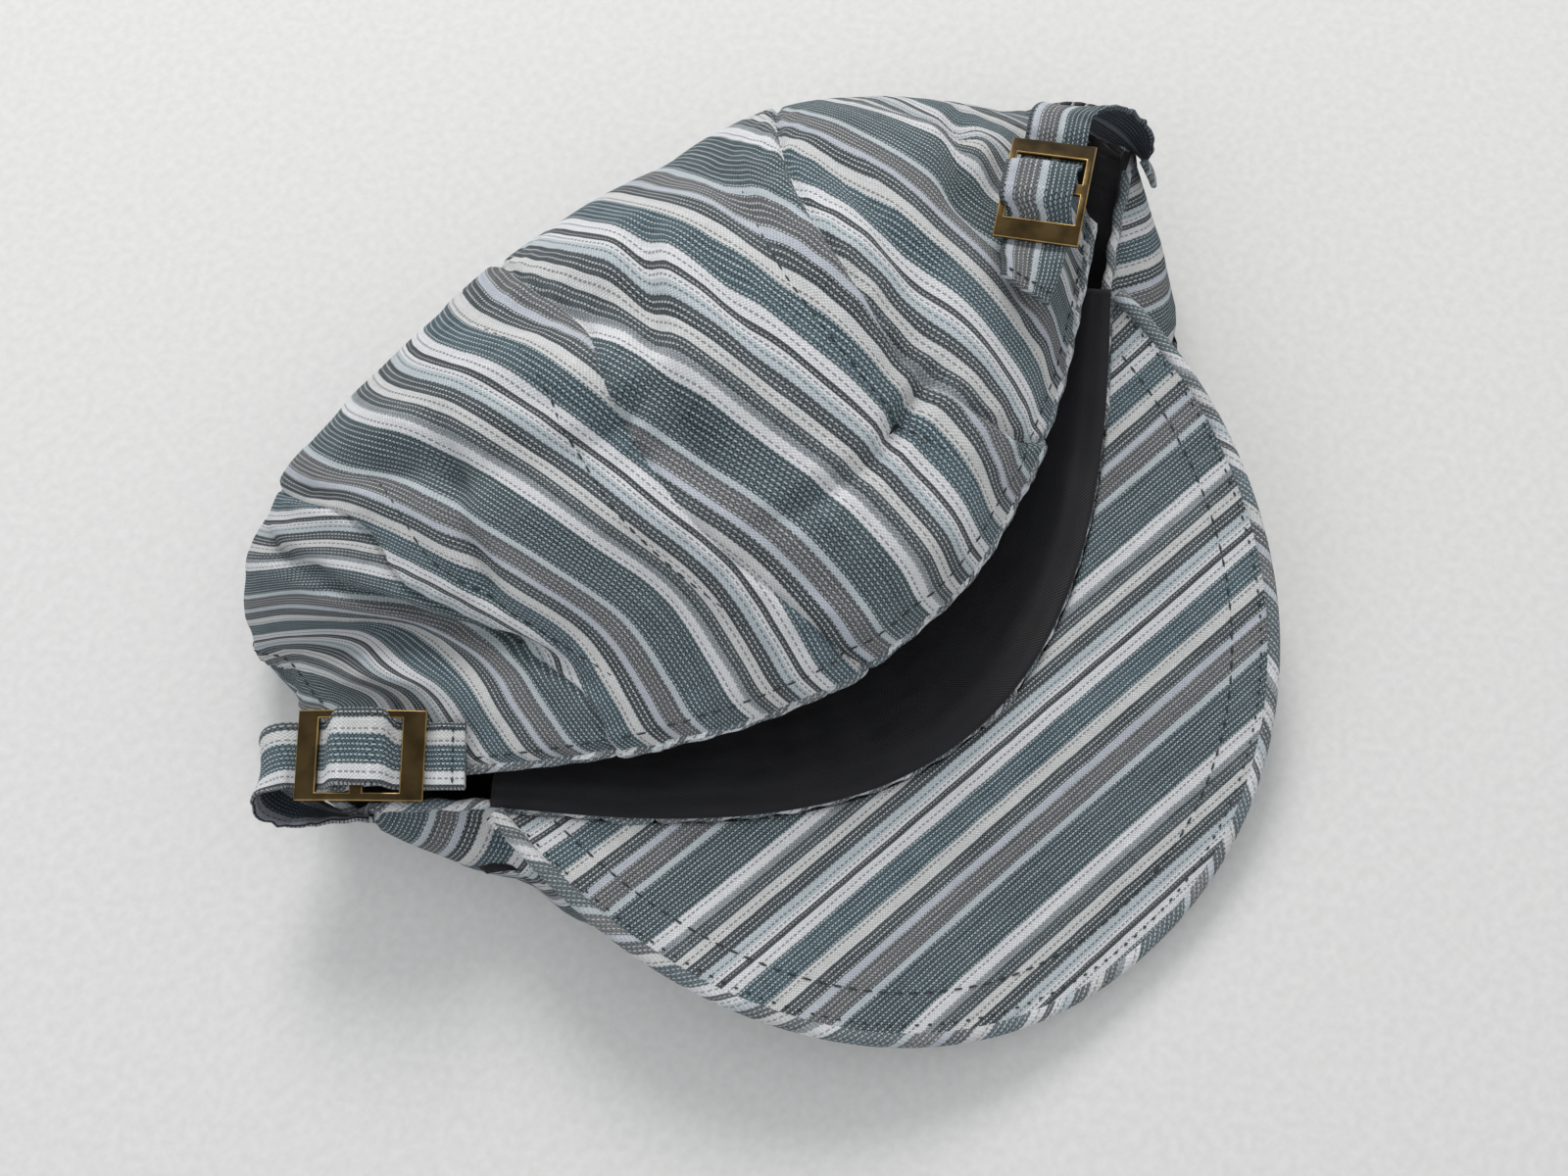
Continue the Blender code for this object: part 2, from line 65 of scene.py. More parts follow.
# The lying crown, from hem to top. A place on it is (seam, reach): seam counts the panel seams round the
# hem, 0 at the right side, 2 at the centre back, 4 at the left side, 6 at the centre front; reach is the
# share of the way from the hem to the top.
crown = {
    "width": 0.256, "length": 0.185, "height": 0.070, "x": -0.00257, "y": 0.00491, "skew": 0.0025,
    "cloth": 0.0015, "panelWidth": 0.072, "panelLength": 0.195,
    "notchWidth": {"right": 0.038, "left": 0.026}, "notchDepth": {"right": 0.026, "left": 0.017},
    "notchPlace": {"right": 0.10, "left": -0.06},
    "cornerOut": 0.0042, "cornerForward": 0.0039, "cornerFade": 0.35,
    "cornerFrom": {"front": 0.72, "back": 0.93},
    "ringNames": ("reach", "halfWidth", "lean", "sideY", "sideZ", "backY", "backZ", "frontY", "frontZ",
                  "backPower", "frontPower", "frontLean", "twist", "spread"),
    "rings": (
        (0.00, 1.01, 0.024, 0.178, 0.44, -0.172, 0.57, -0.299, 0.290, 2.75, 2.60, 0.000, 0.05, 0.00),
        (0.03, 1.01, 0.026, 0.190, 0.41, -0.146, 0.64, -0.299, 0.225, 2.70, 2.47, 0.000, 0.07, 0.01),
        (0.07, 1.00, 0.042, 0.220, 0.38, -0.103, 0.73, -0.335, 0.170, 2.55, 1.60, -0.030, 0.10, 0.02),
        (0.14, 0.97, 0.062, 0.256, 0.33, -0.011, 0.87, -0.425, 0.115, 2.25, 1.20, -0.056, 0.15, 0.04),
        (0.22, 0.955, 0.060, 0.290, 0.28, 0.108, 0.97, -0.490, 0.050, 1.90, 1.15, -0.066, 0.20, 0.08),
        (0.32, 0.925, 0.045, 0.319, 0.23, 0.249, 1.00, -0.450, -0.020, 1.50, 1.12, -0.060, 0.22, 0.14),
        (0.42, 0.895, 0.020, 0.344, 0.18, 0.380, 0.91, -0.355, -0.080, 1.15, 1.10, -0.040, 0.20, 0.20),
        (0.52, 0.875, -0.012, 0.375, 0.13, 0.484, 0.75, -0.250, -0.110, 0.90, 1.00, -0.020, 0.17, 0.27),
        (0.60, 0.835, -0.020, 0.397, 0.08, 0.543, 0.59, -0.165, -0.120, 0.78, 1.00, 0.000, 0.14, 0.32),
        (0.67, 0.79, -0.022, 0.408, 0.03, 0.576, 0.42, -0.100, -0.120, 0.75, 1.00, 0.000, 0.12, 0.34),
        (0.74, 0.70, -0.022, 0.408, -0.01, 0.570, 0.24, -0.030, -0.120, 0.75, 1.00, 0.000, 0.10, 0.32),
        (0.82, 0.57, -0.020, 0.392, -0.05, 0.518, 0.07, 0.043, -0.120, 0.80, 1.00, 0.000, 0.07, 0.25),
        (0.90, 0.36, -0.012, 0.345, -0.08, 0.418, -0.05, 0.130, -0.120, 0.90, 1.00, 0.000, 0.04, 0.12),
        (1.00, 0.00, 0.000, 0.260, -0.12, 0.260, -0.12, 0.260, -0.120, 1.00, 1.00, 0.000, 0.00, 0.00),
    ),
    # large folds: two ends as (seam, reach), width and depth in millimetres; a negative depth is a ridge
    "folds": (
        (3.95, 0.42, 3.05, 0.14, 14.4, 5.6), (3.75, 0.24, 3.20, 0.10, 15.8, -3.2),
        (2.75, 0.52, 2.62, 0.36, 9.4, 6.3), (2.62, 0.36, 1.95, 0.20, 11.5, 4.2),
        (2.10, 0.50, 1.95, 0.36, 10.1, 5.6), (1.30, 0.24, 1.75, 0.11, 9.4, 4.2),
        (1.05, 0.25, 0.55, 0.22, 11.5, 3.5), (2.00, 0.10, 1.70, 0.05, 13.0, -4.2),
        (0.80, 0.52, 0.55, 0.30, 14.4, 3.2), (1.50, 0.62, 1.40, 0.38, 14.4, 2.8),
    ),
    # smaller furrows and creases, the same way
    "furrows": (
        (2.49, 0.43, 2.68, 0.35, 4.2, 4.6), (2.68, 0.35, 2.95, 0.22, 3.8, 3.9),
        (1.73, 0.45, 1.95, 0.34, 4.2, 4.8), (1.95, 0.34, 2.15, 0.19, 3.6, 4.0),
        (1.67, 0.38, 1.83, 0.24, 3.8, 2.4), (1.42, 0.50, 1.60, 0.30, 4.6, 2.2),
        (2.30, 0.30, 2.05, 0.30, 3.4, 3.2), (2.35, 0.42, 2.20, 0.31, 3.8, 2.7),
        (3.10, 0.56, 3.27, 0.38, 4.2, 4.6), (3.27, 0.38, 3.20, 0.22, 4.0, 5.0),
        (3.20, 0.22, 2.93, 0.10, 3.8, 4.0),
        (2.85, 0.56, 2.88, 0.44, 3.8, 2.8), (3.45, 0.30, 3.25, 0.12, 5.2, 2.6),
        (1.46, 0.16, 1.76, 0.145, 2.6, 3.6), (1.76, 0.145, 2.16, 0.155, 2.6, 2.9),
        (0.55, 0.40, 0.98, 0.26, 5.2, 3.2), (0.98, 0.26, 1.06, 0.10, 4.6, 2.8),
        (1.20, 0.40, 1.32, 0.22, 4.3, 2.2), (2.50, 0.20, 2.62, 0.04, 4.8, 2.0),
        (2.22, 0.09, 2.02, 0.03, 5.0, -2.2), (0.75, 0.16, 0.60, 0.03, 4.8, 2.0),
        (4.60, 0.05, 4.70, 0.30, 7.0, 2.6), (5.10, 0.04, 5.05, 0.22, 6.0, 2.0),
        (7.30, 0.04, 7.25, 0.28, 7.0, 2.6),
    ),
    # how far seams 1, 2 and 3 wander from an even spacing at each reach, in panels
    "wander": (
        (0.00, 0.23, 0.15, -0.05), (0.07, 0.38, 0.21, -0.07), (0.15, 0.49, 0.29, 0.08),
        (0.23, 0.49, 0.25, 0.10), (0.30, 0.45, 0.17, 0.10), (0.40, 0.34, 0.03, -0.05),
        (0.50, 0.20, 0.00, -0.10), (0.62, 0.06, 0.00, -0.08), (1.00, 0.00, 0.00, 0.00),
    ),
    "seamGroove": 0.0012, "seamStep": 0.0008, "topstitch": 0.0115,
    "foldFade": 0.45, "furrowNoise": 0.0011, "pucker": 0.00030,
    "seamPucker": {"reach": 0.007, "pitch": 0.0075}, "hemPucker": {"reach": 0.008, "pitch": 0.0085},
}


def eased(share):
    share = np.clip(share, 0, 1)
    return share * share * (3 - 2 * share)


def smoothThrough(xs, ys, at):
    slopes = np.gradient(ys, xs)
    i = np.clip(np.searchsorted(xs, at, side="right") - 1, 0, len(xs) - 2)
    step = xs[i + 1] - xs[i]
    f = (at - xs[i]) / step
    start = (1 + 2 * f) * (1 - f) ** 2 * ys[i] + f * (1 - f) ** 2 * step * slopes[i]
    end = f * f * (3 - 2 * f) * ys[i + 1] + f * f * (f - 1) * step * slopes[i + 1]
    return start + end


def ringSizes(reach):
    length, height = crown["length"], crown["height"]
    unit = (1, crown["width"] / 2, length) + (length, height) * 3 + (1, 1, length, 1, 1)
    table = np.array(crown["rings"])
    return {
        name: unit[k] * smoothThrough(table[:, 0], table[:, k], reach)
        for k, name in enumerate(crown["ringNames"])
    }


def ringArc(sizes, angle, half):
    weight = np.maximum(np.cos(angle), 0.0) ** sizes[half + "Power"]
    lean = sizes["lean"] + (sizes["frontLean"] * weight if half == "front" else 0)
    x = crown["x"] + lean + sizes["halfWidth"] * np.sin(angle)
    y = crown["y"] + sizes["sideY"] + (sizes[half + "Y"] - sizes["sideY"]) * weight
    z = sizes["sideZ"] + (sizes[half + "Z"] - sizes["sideZ"]) * weight
    y = y + crown["skew"] * np.sin(angle) * np.maximum(1 - sizes["reach"] / 0.5, 0)
    cornerFrom = crown["cornerFrom"][half]
    corner = eased((np.abs(np.sin(angle)) - cornerFrom) / (1 - cornerFrom))
    corner = corner * np.maximum(1 - sizes["reach"] / crown["cornerFade"], 0)
    x = x + np.sign(angle) * crown["cornerOut"] * corner
    return np.stack([x, y - crown["cornerForward"] * corner, z], -1)


def arcTable(half, samples=60):
    # the angle at each even share of each ring's arc, and the arcs' lengths
    shares = np.linspace(0, 1, samples + 1)
    angles = np.linspace(math.pi / 2, -math.pi / 2, 6 * samples + 1)
    rows, lengths = [], []
    for reach in shares:
        sizes = ringSizes(np.full(angles.shape, min(reach, 0.99)))
        steps = np.linalg.norm(np.diff(ringArc(sizes, angles, half), axis=0), axis=1)
        rows.append(np.interp(shares, np.append(0, np.cumsum(steps)) / steps.sum(), angles))
        lengths.append(steps.sum())
    return np.array(rows), np.array(lengths)


arcAngles, arcLengths = {}, {}
for half in ("back", "front"):
    arcAngles[half], arcLengths[half] = arcTable(half)


def between(table, row, place):
    rows, places = table.shape[0] - 1, table.shape[1] - 1
    i = np.clip((row * rows).astype(int), 0, rows - 1)
    j = np.clip((place * places).astype(int), 0, places - 1)
    f, g = row * rows - i, place * places - j
    low = table[i, j] * (1 - g) + table[i, j + 1] * g
    high = table[i + 1, j] * (1 - g) + table[i + 1, j + 1] * g
    return low * (1 - f) + high * f


def crownForm(seam, reach):
    seam, reach = np.broadcast_arrays(np.asarray(seam, float), np.asarray(reach, float))
    turn = np.mod(seam, 8)
    sizes = ringSizes(reach)
    share = np.clip(turn / 4, 0, 1)
    twisted = sizes["twist"] * np.sin(math.pi * share) ** 2 - sizes["spread"] * np.sin(2 * math.pi * share)
    share = share + twisted / 4
    back = ringArc(sizes, between(arcAngles["back"], reach, share), "back")
    share = np.clip((8 - turn) / 4, 0, 1)
    front = ringArc(sizes, between(arcAngles["front"], reach, share), "front")
    return np.where((turn <= 4)[..., None], back, front)


def crownNormal(seam, reach, step=0.01):
    up = crownForm(seam, np.minimum(reach + step, 0.995)) - crownForm(seam, np.maximum(reach - step, 0.0))
    around = crownForm(seam + step, reach) - crownForm(seam - step, reach)
    normal = np.cross(up, around)
    return normal / np.maximum(np.linalg.norm(normal, axis=-1, keepdims=True), 1e-12)


def panelWidth(seam, reach):
    shares = np.linspace(0, 1, len(arcLengths["back"]))
    back = np.interp(reach, shares, arcLengths["back"]) / 4
    front = np.interp(reach, shares, arcLengths["front"]) / 4
    return np.where(np.mod(seam, 8) <= 4, back, front)


def wandered(seam, reach):
    # where a place counted in real seams lies on the evenly spaced form
    table = np.array(crown["wander"])
    moved = np.zeros(np.broadcast(seam, reach).shape)
    for index in (1, 2, 3):
        shift = smoothThrough(table[:, 0], table[:, index], reach)
        near = np.clip(1 - np.abs(seam - index), 0, 1)
        moved += shift * near * near * (3 - 2 * near)
    return seam + moved


def foldDepth(seam, reach, rows, fade):
    x, y = seam * crown["panelWidth"], reach * crown["panelLength"]
    total = np.zeros(np.broadcast(seam, reach).shape)
    for seamA, reachA, seamB, reachB, width, depth in rows:
        ax, ay = seamA * crown["panelWidth"], reachA * crown["panelLength"]
        bx, by = seamB * crown["panelWidth"], reachB * crown["panelLength"]
        length = math.hypot(bx - ax, by - ay)
        along = np.clip(((x - ax) * (bx - ax) + (y - ay) * (by - ay)) / length**2, 0, 1)
        away = np.hypot(x - ax - along * (bx - ax), y - ay - along * (by - ay)) / (width / 1000)
        total += depth / 1000 * (1 - away**2) * np.exp(-(away**2)) * np.sin(math.pi * (0.12 + 0.76 * along))
    if fade:
        sideAway = np.minimum(np.abs(seam), np.abs(seam - 4)) / fade
        total *= np.minimum(sideAway, 1) ** 2
    return total


def seamSide(index):
    return -1 if index in (3, 4, 5) else 1  # which side of a seam its allowance is pressed to


def seamRelief(seam, reach):
    # the groove along a seam, the step of the pressed allowance and the groove of its topstitch
    relief = np.zeros(np.broadcast(seam, reach).shape)
    width = panelWidth(seam, reach)
    for index in range(9):
        away = (seam - index) * width * seamSide(index % 8) * 1000
        near = (np.abs(seam - index) < 0.5) & (reach < 0.9)
        stitch = crown["topstitch"] * 1000
        raised = 1 / (1 + np.exp(-(away - 0.3) * 3)) / (1 + np.exp((away - stitch - 0.9) * 1.6))
        groove = np.exp(-((away + 0.2) ** 2) / 0.8) + 0.6 * np.exp(-((away - stitch) ** 2) / 0.7)
        relief += np.where(near, crown["seamStep"] * raised - crown["seamGroove"] * groove, 0)
    return relief


def softNoise(a, b, scaleA, scaleB, seed):
    flat = zip((a * scaleA).ravel(), (b * scaleB).ravel())
    return np.array([noise.noise(Vector((p, q, seed))) for p, q in flat]).reshape(a.shape)


def puckers(row, away, along, start):
    # small waves that a row of stitches draws into the cloth beside it
    wave = np.sin(along * 2 * math.pi / row["pitch"] + start)
    return crown["pucker"] * np.exp(-((away / row["reach"]) ** 2)) * wave


def crownPoint(seam, reach):
    form = wandered(seam, reach)
    point, normal = crownForm(form, reach), crownNormal(form, reach)
    depth = foldDepth(form, reach, crown["folds"], crown["foldFade"])
    depth = depth + foldDepth(form, reach, crown["furrows"], 0)
    x, y = form * crown["panelWidth"], reach * crown["panelLength"]
    swell = np.clip(reach * 9, 0.15, 1)
    depth = depth + crown["furrowNoise"] * swell * softNoise(x, y, 62, 17, 3.1)
    depth = depth + crown["furrowNoise"] * 0.35 * swell * softNoise(x, y, 150, 60, 7.7)
    awaySeam = np.abs(seam - np.round(seam)) * crown["panelWidth"]
    depth = depth + puckers(crown["seamPucker"], awaySeam, y, 2 * seam)
    depth = depth + puckers(crown["hemPucker"], y, x, 0)
    depth = depth - seamRelief(seam, reach)
    point = point - normal * depth[..., None]
    point[..., 2] = np.maximum(point[..., 2], 0.0)
    return point


def hemReach(seam):
    start = np.zeros(np.shape(seam))
    right, left = crown["notchPlace"]["right"], crown["notchPlace"]["left"]
    for side, middle in (("right", right), ("left", 4 - left), ("right", 8 + right)):
        away = np.abs(seam - middle) * crown["panelWidth"] / (crown["notchWidth"][side] / 2)
        depth = crown["notchDepth"][side] / crown["panelLength"]
        start = start + depth * np.sqrt(np.maximum(1 - away**4, 0))
    return start


def makeObject(name, bm):
    mesh = bpy.data.meshes.new(name)
    bm.to_mesh(mesh)
    bm.free()
    mesh.shade_smooth()
    obj = bpy.data.objects.new(name, mesh)
    bpy.context.scene.collection.objects.link(obj)
    return obj


def clothGrid(name, columns, rows, place, cloth, close=False, flip=False, second=None):
    # a grid whose points are put in place by one function and whose cloth coordinates come from another;
    # a third function says which faces have the piece's second material
    bm = bmesh.new()
    bmesh.ops.create_grid(bm, x_segments=columns, y_segments=rows, size=0.5)
    share = np.array([v.co.xy[:] for v in bm.verts]) + 0.5
    places = place(share[:, 0], share[:, 1])
    layer = bm.loops.layers.uv.new("cloth")
    faces = list(bm.faces)
    corners = np.array([[loop.vert.index for loop in face.loops] for face in faces])
    middle = share[corners].mean(1)
    coords = cloth(share[corners][..., 0], share[corners][..., 1], middle[:, :1], middle[:, 1:])
    for face, uvs, centre in zip(faces, coords, middle):
        face.material_index = 1 if second and second(*centre) else 0
        for loop, uv in zip(face.loops, uvs):
            loop[layer].uv = uv
    for vert, point in zip(bm.verts, places):
        vert.co = point
    if close:
        bmesh.ops.remove_doubles(bm, verts=bm.verts, dist=1e-6)
    if flip:
        bmesh.ops.reverse_faces(bm, faces=bm.faces)
    return makeObject(name, bm)


def wall(obj, thickness, offset=-1):
    solid = obj.modifiers.new("wall", "SOLIDIFY")
    solid.thickness = thickness
    solid.offset = offset
    solid.use_even_offset = False


# Materials
class Shader:
    # short ways to lay out one material's nodes
    def __init__(self, name, roughness, metallic=0.0, specular=0.5):
        self.material = bpy.data.materials.new(name)
        self.material.use_nodes = True
        self.tree = self.material.node_tree
        self.bsdf = self.tree.nodes["Principled BSDF"]
        self.bsdf.inputs["Roughness"].default_value = roughness
        self.bsdf.inputs["Metallic"].default_value = metallic
        self.bsdf.inputs["Specular IOR Level"].default_value = specular

    def put(self, socket, value):
        if hasattr(value, "is_output"):
            self.tree.links.new(value, socket)
        else:
            socket.default_value = value

    def math(self, operation, a, b=0.0, c=0.0):
        node = self.tree.nodes.new("ShaderNodeMath")
        node.operation = operation
        for socket, value in zip(node.inputs, (a, b, c)):
            self.put(socket, value)
        return node.outputs[0]

    def mix(self, share, a, b, blend="MIX"):
        node = self.tree.nodes.new("ShaderNodeMix")
        node.data_type = "RGBA"
        node.blend_type = blend
        self.put(node.inputs[0], share)
        self.put(node.inputs[6], a)
        self.put(node.inputs[7], b)
        return node.outputs[2]

    def ramp(self, value, stops, interpolation="LINEAR"):
        node = self.tree.nodes.new("ShaderNodeValToRGB")
        ramp = node.color_ramp
        ramp.interpolation = interpolation
        while len(ramp.elements) > 1:
            ramp.elements.remove(ramp.elements[-1])
        for k, (place, colour) in enumerate(stops):
            element = ramp.elements[0] if k == 0 else ramp.elements.new(place)
            element.position = place
            element.color = colour
        self.put(node.inputs[0], value)
        return node.outputs[0]

    def noise(self, vector, scale, detail=2.0, roughness=0.5):
        node = self.tree.nodes.new("ShaderNodeTexNoise")
        self.put(node.inputs["Vector"], vector)
        node.inputs["Scale"].default_value = scale
        node.inputs["Detail"].default_value = detail
        node.inputs["Roughness"].default_value = roughness
        return node.outputs["Fac"]

    def scaled(self, vector, scale):
        node = self.tree.nodes.new("ShaderNodeMapping")
        self.put(node.inputs["Vector"], vector)
        node.inputs["Scale"].default_value = scale
        return node.outputs[0]

    def cloth(self):
        node = self.tree.nodes.new("ShaderNodeUVMap")
        node.uv_map = "cloth"
        parts = self.tree.nodes.new("ShaderNodeSeparateXYZ")
        self.tree.links.new(node.outputs[0], parts.inputs[0])
        return node.outputs[0], parts.outputs[0], parts.outputs[1]

    def place(self):
        return self.tree.nodes.new("ShaderNodeTexCoord").outputs["Object"]

    def bump(self, height, distance, strength=1.0):
        node = self.tree.nodes.new("ShaderNodeBump")
        node.inputs["Strength"].default_value = strength
        node.inputs["Distance"].default_value = distance
        self.put(node.inputs["Height"], height)
        self.tree.links.new(node.outputs[0], self.bsdf.inputs["Normal"])


white = (1, 1, 1, 1)
black = (0, 0, 0, 1)

# One repeat of the cloth, in millimetres: the bands as width, yarn and how strongly fine white threads run
# in it, and where dark threads run. A yarn has the shade of its shadows and of its lights.
stripes = {
    "yarns": {
        "teal": (rgb(26, 40, 45), rgb(110, 129, 135)), "deepTeal": (rgb(28, 46, 54), rgb(114, 136, 144)),
        "charcoal": (rgb(28, 33, 37), rgb(112, 120, 124)), "dark": (rgb(32, 36, 40), rgb(110, 116, 120)),
        "pepper": (rgb(32, 39, 43), rgb(122, 131, 135)), "grey": (rgb(104, 112, 118), rgb(184, 190, 194)),
        "brown": (rgb(58, 60, 62), rgb(140, 142, 144)), "lavender": (rgb(168, 175, 186), rgb(216, 221, 229)),
        "ice": (rgb(164, 176, 182), rgb(222, 231, 235)), "cream": (rgb(192, 194, 194), rgb(240, 240, 238)),
        "white": (rgb(208, 210, 213), rgb(250, 251, 253)),
    },
    "bands": (
        (2.2, "ice", 0.0), (3.0, "charcoal", 0.9), (2.6, "cream", 0.0), (2.6, "pepper", 0.8),
        (1.3, "grey", 0.3), (2.8, "white", 0.0), (9.8, "teal", 0.85), (1.5, "ice", 0.0),
        (4.8, "brown", 0.8), (1.6, "lavender", 0.0), (3.2, "charcoal", 0.9), (2.9, "cream", 0.0),
        (6.0, "deepTeal", 0.85), (2.8, "white", 0.0), (1.5, "dark", 0.5), (1.4, "white", 0.0),
    ),
    "darkThreads": (0.65, 2.2, 6.4, 11.7, 13.6, 24.3, 26.1, 32.2, 37.6, 44.3, 45.8, 49.3),
    # the white threads' spacing, width, and their dashes' length, share and shift from row to row
    "pinPitch": 1.04, "pinWidth": 0.30, "dash": 0.90, "dashOn": 0.64, "pinShift": 0.37,
    "thread": 0.30, "lineDash": 1.2, "lineOn": 0.66, "lineStrength": 0.60,  # of the dark threads
    "drift": 0.9, "wobble": 0.35, "weave": 0.75, "crossing": 0.46,
    "unit": 100.0,  # millimetres in a unit of the cloth's coordinates
}


def stripedCloth(name, tint=white, pale=0.0):
    shader = Shader(name, 0.90, specular=0.15)
    vector, across, along = shader.cloth()
    repeat = sum(band[0] for band in stripes["bands"])
    drift = shader.noise(shader.scaled(vector, (2.2, 0.5, 1)), 3.0, 1.0)
    wobble = shader.noise(shader.scaled(vector, (20, 14, 1)), 1.0, 1.0)
    x = shader.math("MULTIPLY", across, stripes["unit"])
    x = shader.math("ADD", x, shader.math("MULTIPLY", drift, stripes["drift"]))
    x = shader.math("ADD", x, shader.math("MULTIPLY", wobble, stripes["wobble"]))
    y = shader.math("MULTIPLY", along, stripes["unit"])
    turn = shader.math("FRACT", shader.math("DIVIDE", x, repeat))
    shadows, lights, pinned, at = [], [], [], 0.0
    for width, yarn, pins in stripes["bands"]:
        shadow, light = stripes["yarns"][yarn]
        shadows.append((at / repeat, shadow))
        lights.append((at / repeat, light))
        pinned.append((at / repeat, (pins, pins, pins, 1)))
        at += width

    darkLines = [(0.0, black)]
    for place in stripes["darkThreads"]:
        darkLines.append(((place - stripes["thread"] / 2) / repeat, white))
        darkLines.append(((place + stripes["thread"] / 2) / repeat, black))

    # plain weave: crossings of warp and weft, and yarns that are thick and thin along their length
    warp = shader.math("SINE", shader.math("MULTIPLY", x, 2 * math.pi / stripes["weave"]))
    weft = shader.math("SINE", shader.math("MULTIPLY", y, 2 * math.pi / stripes["weave"]))
    crossing = shader.math("MULTIPLY", warp, weft)
    speck = shader.noise(vector, 620.0, 2.0, 0.6)
    warpYarn = shader.noise(shader.scaled(vector, (170, 5, 1)), 1.0, 2.0, 0.6)
    weftYarn = shader.noise(shader.scaled(vector, (4, 150, 1)), 1.0, 2.0, 0.6)
    patch = shader.noise(shader.scaled(vector, (7, 3, 1)), 1.0, 2.0)
    share = shader.math("ADD", 0.5, shader.math("MULTIPLY", crossing, stripes["crossing"]))
    for streak, amount in ((speck, 1.3), (warpYarn, 0.8), (weftYarn, 0.6), (patch, 0.30)):
        change = shader.math("MULTIPLY", shader.math("SUBTRACT", streak, 0.5), amount)
        share = shader.math("ADD", share, change)
    share = shader.math("MAXIMUM", shader.math("MINIMUM", share, 1.0), 0.0)
    base = shader.mix(share, shader.ramp(turn, shadows, "CONSTANT"), shader.ramp(turn, lights, "CONSTANT"))

    # fine white threads that show as rows of dashes, and thin dark ones
    row = shader.math("DIVIDE", x, stripes["pinPitch"])
    pin = shader.math("LESS_THAN", shader.math("FRACT", row), stripes["pinWidth"] / stripes["pinPitch"])
    dashes = shader.math("DIVIDE", y, stripes["dash"])
    shifted = shader.math("MULTIPLY", shader.math("FLOOR", row), stripes["pinShift"])
    dashes = shader.math("ADD", dashes, shifted)
    broken = shader.math("LESS_THAN", shader.math("FRACT", dashes), stripes["dashOn"])
    pin = shader.math("MULTIPLY", pin, broken)
    pin = shader.math("MULTIPLY", pin, shader.ramp(turn, pinned, "CONSTANT"))
    worn = shader.math("MINIMUM", shader.math("ADD", shader.math("MULTIPLY", warpYarn, 1.1), 0.15), 1.0)
    pin = shader.math("MULTIPLY", pin, worn)
    base = shader.mix(pin, base, rgb(236, 240, 242))
    dashes = shader.math("FRACT", shader.math("DIVIDE", y, stripes["lineDash"]))
    broken = shader.math("LESS_THAN", dashes, stripes["lineOn"])
    line = shader.math("MULTIPLY", shader.ramp(turn, darkLines, "CONSTANT"), broken)
    line = shader.math("MULTIPLY", line, stripes["lineStrength"])
    base = shader.mix(line, base, rgb(48, 54, 60))
    if pale:
        base = shader.mix(pale, base, rgb(218, 220, 222))
    base = shader.mix(1.0, base, tint, "MULTIPLY")
    shader.put(shader.bsdf.inputs["Base Color"], base)
    shader.bsdf.inputs["Sheen Weight"].default_value = 0.05
    shader.bsdf.inputs["Sheen Roughness"].default_value = 0.5
    height = shader.math("ADD", share, shader.math("MULTIPLY", warpYarn, 0.6))
    height = shader.math("ADD", height, shader.math("MULTIPLY", pin, 0.5))
    shader.bump(height, 0.00024, 0.9)
    return shader.material


def bandCloth():
    shader = Shader("sweatbandCloth", 0.5, specular=0.25)
    vector, across, along = shader.cloth()
    x = shader.math("MULTIPLY", across, stripes["unit"])
    y = shader.math("MULTIPLY", along, stripes["unit"])
    twill = shader.math("SINE", shader.math("MULTIPLY", shader.math("ADD", x, y), 2 * math.pi / 0.8))
    worn = shader.noise(shader.scaled(vector, (14, 3, 1)), 2.0, 3.0)
    base = shader.ramp(worn, [(0.3, rgb(9, 9, 12)), (0.75, rgb(27, 27, 33))])
    shader.put(shader.bsdf.inputs["Base Color"], base)
    gloss = shader.math("ADD", shader.math("MULTIPLY", worn, 0.3), 0.38)
    shader.put(shader.bsdf.inputs["Roughness"], gloss)
    shader.bsdf.inputs["Sheen Weight"].default_value = 0.2
    shader.bump(shader.math("ADD", twill, shader.math("MULTIPLY", worn, 3.0)), 0.00012, 0.5)
    return shader.material


def brassMetal(name, dark, light):
    shader = Shader(name, 0.36, metallic=1.0)
    place = shader.place()
    brushed = shader.noise(shader.scaled(place, (900, 900, 900)), 1.0, 3.0)
    patina = shader.noise(place, 160.0, 3.0)
    base = shader.ramp(patina, [(0.32, dark), (0.62, light)])
    base = shader.mix(shader.math("MULTIPLY", brushed, 0.25), base, light)
    shader.put(shader.bsdf.inputs["Base Color"], base)
    gloss = shader.math("ADD", shader.math("MULTIPLY", patina, 0.25), 0.24)
    shader.put(shader.bsdf.inputs["Roughness"], gloss)
    shader.bump(brushed, 0.00005, 0.4)
    return shader.material


def threadCotton():
    shader = Shader("darkThread", 0.7)
    twist = shader.noise(shader.place(), 2600.0, 1.0)
    base = shader.ramp(twist, [(0.35, rgb(26, 34, 34)), (0.7, rgb(62, 72, 72))])
    shader.put(shader.bsdf.inputs["Base Color"], base)
    shader.bump(twist, 0.0001, 0.5)
    return shader.material


shellCloth = stripedCloth("stripedCloth")
pipingCloth = stripedCloth("rolledEdgeCloth", pale=0.10)
# the straps' lower faces: the striped cloth darkened by a tint, a painted shade
shadedCloth = stripedCloth("paintedShadeCloth", tint=rgb(150, 152, 160))
linerCloth = bandCloth()
brass = brassMetal("antiqueBrass", rgb(50, 41, 26), rgb(80, 66, 42))
# lighter brass for the buckles' rounded edges: rubbed wear and a painted highlight
wornHighlightBrass = brassMetal("wornAndHighlightBrassEdge", rgb(122, 98, 56), rgb(182, 152, 96))
thread = threadCotton()


def finishPiece(obj, material, slot, *nodes):
    obj.data.materials.append(material)
    if nodes:
        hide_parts(*nodes)
    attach(obj, "root")
    return obj


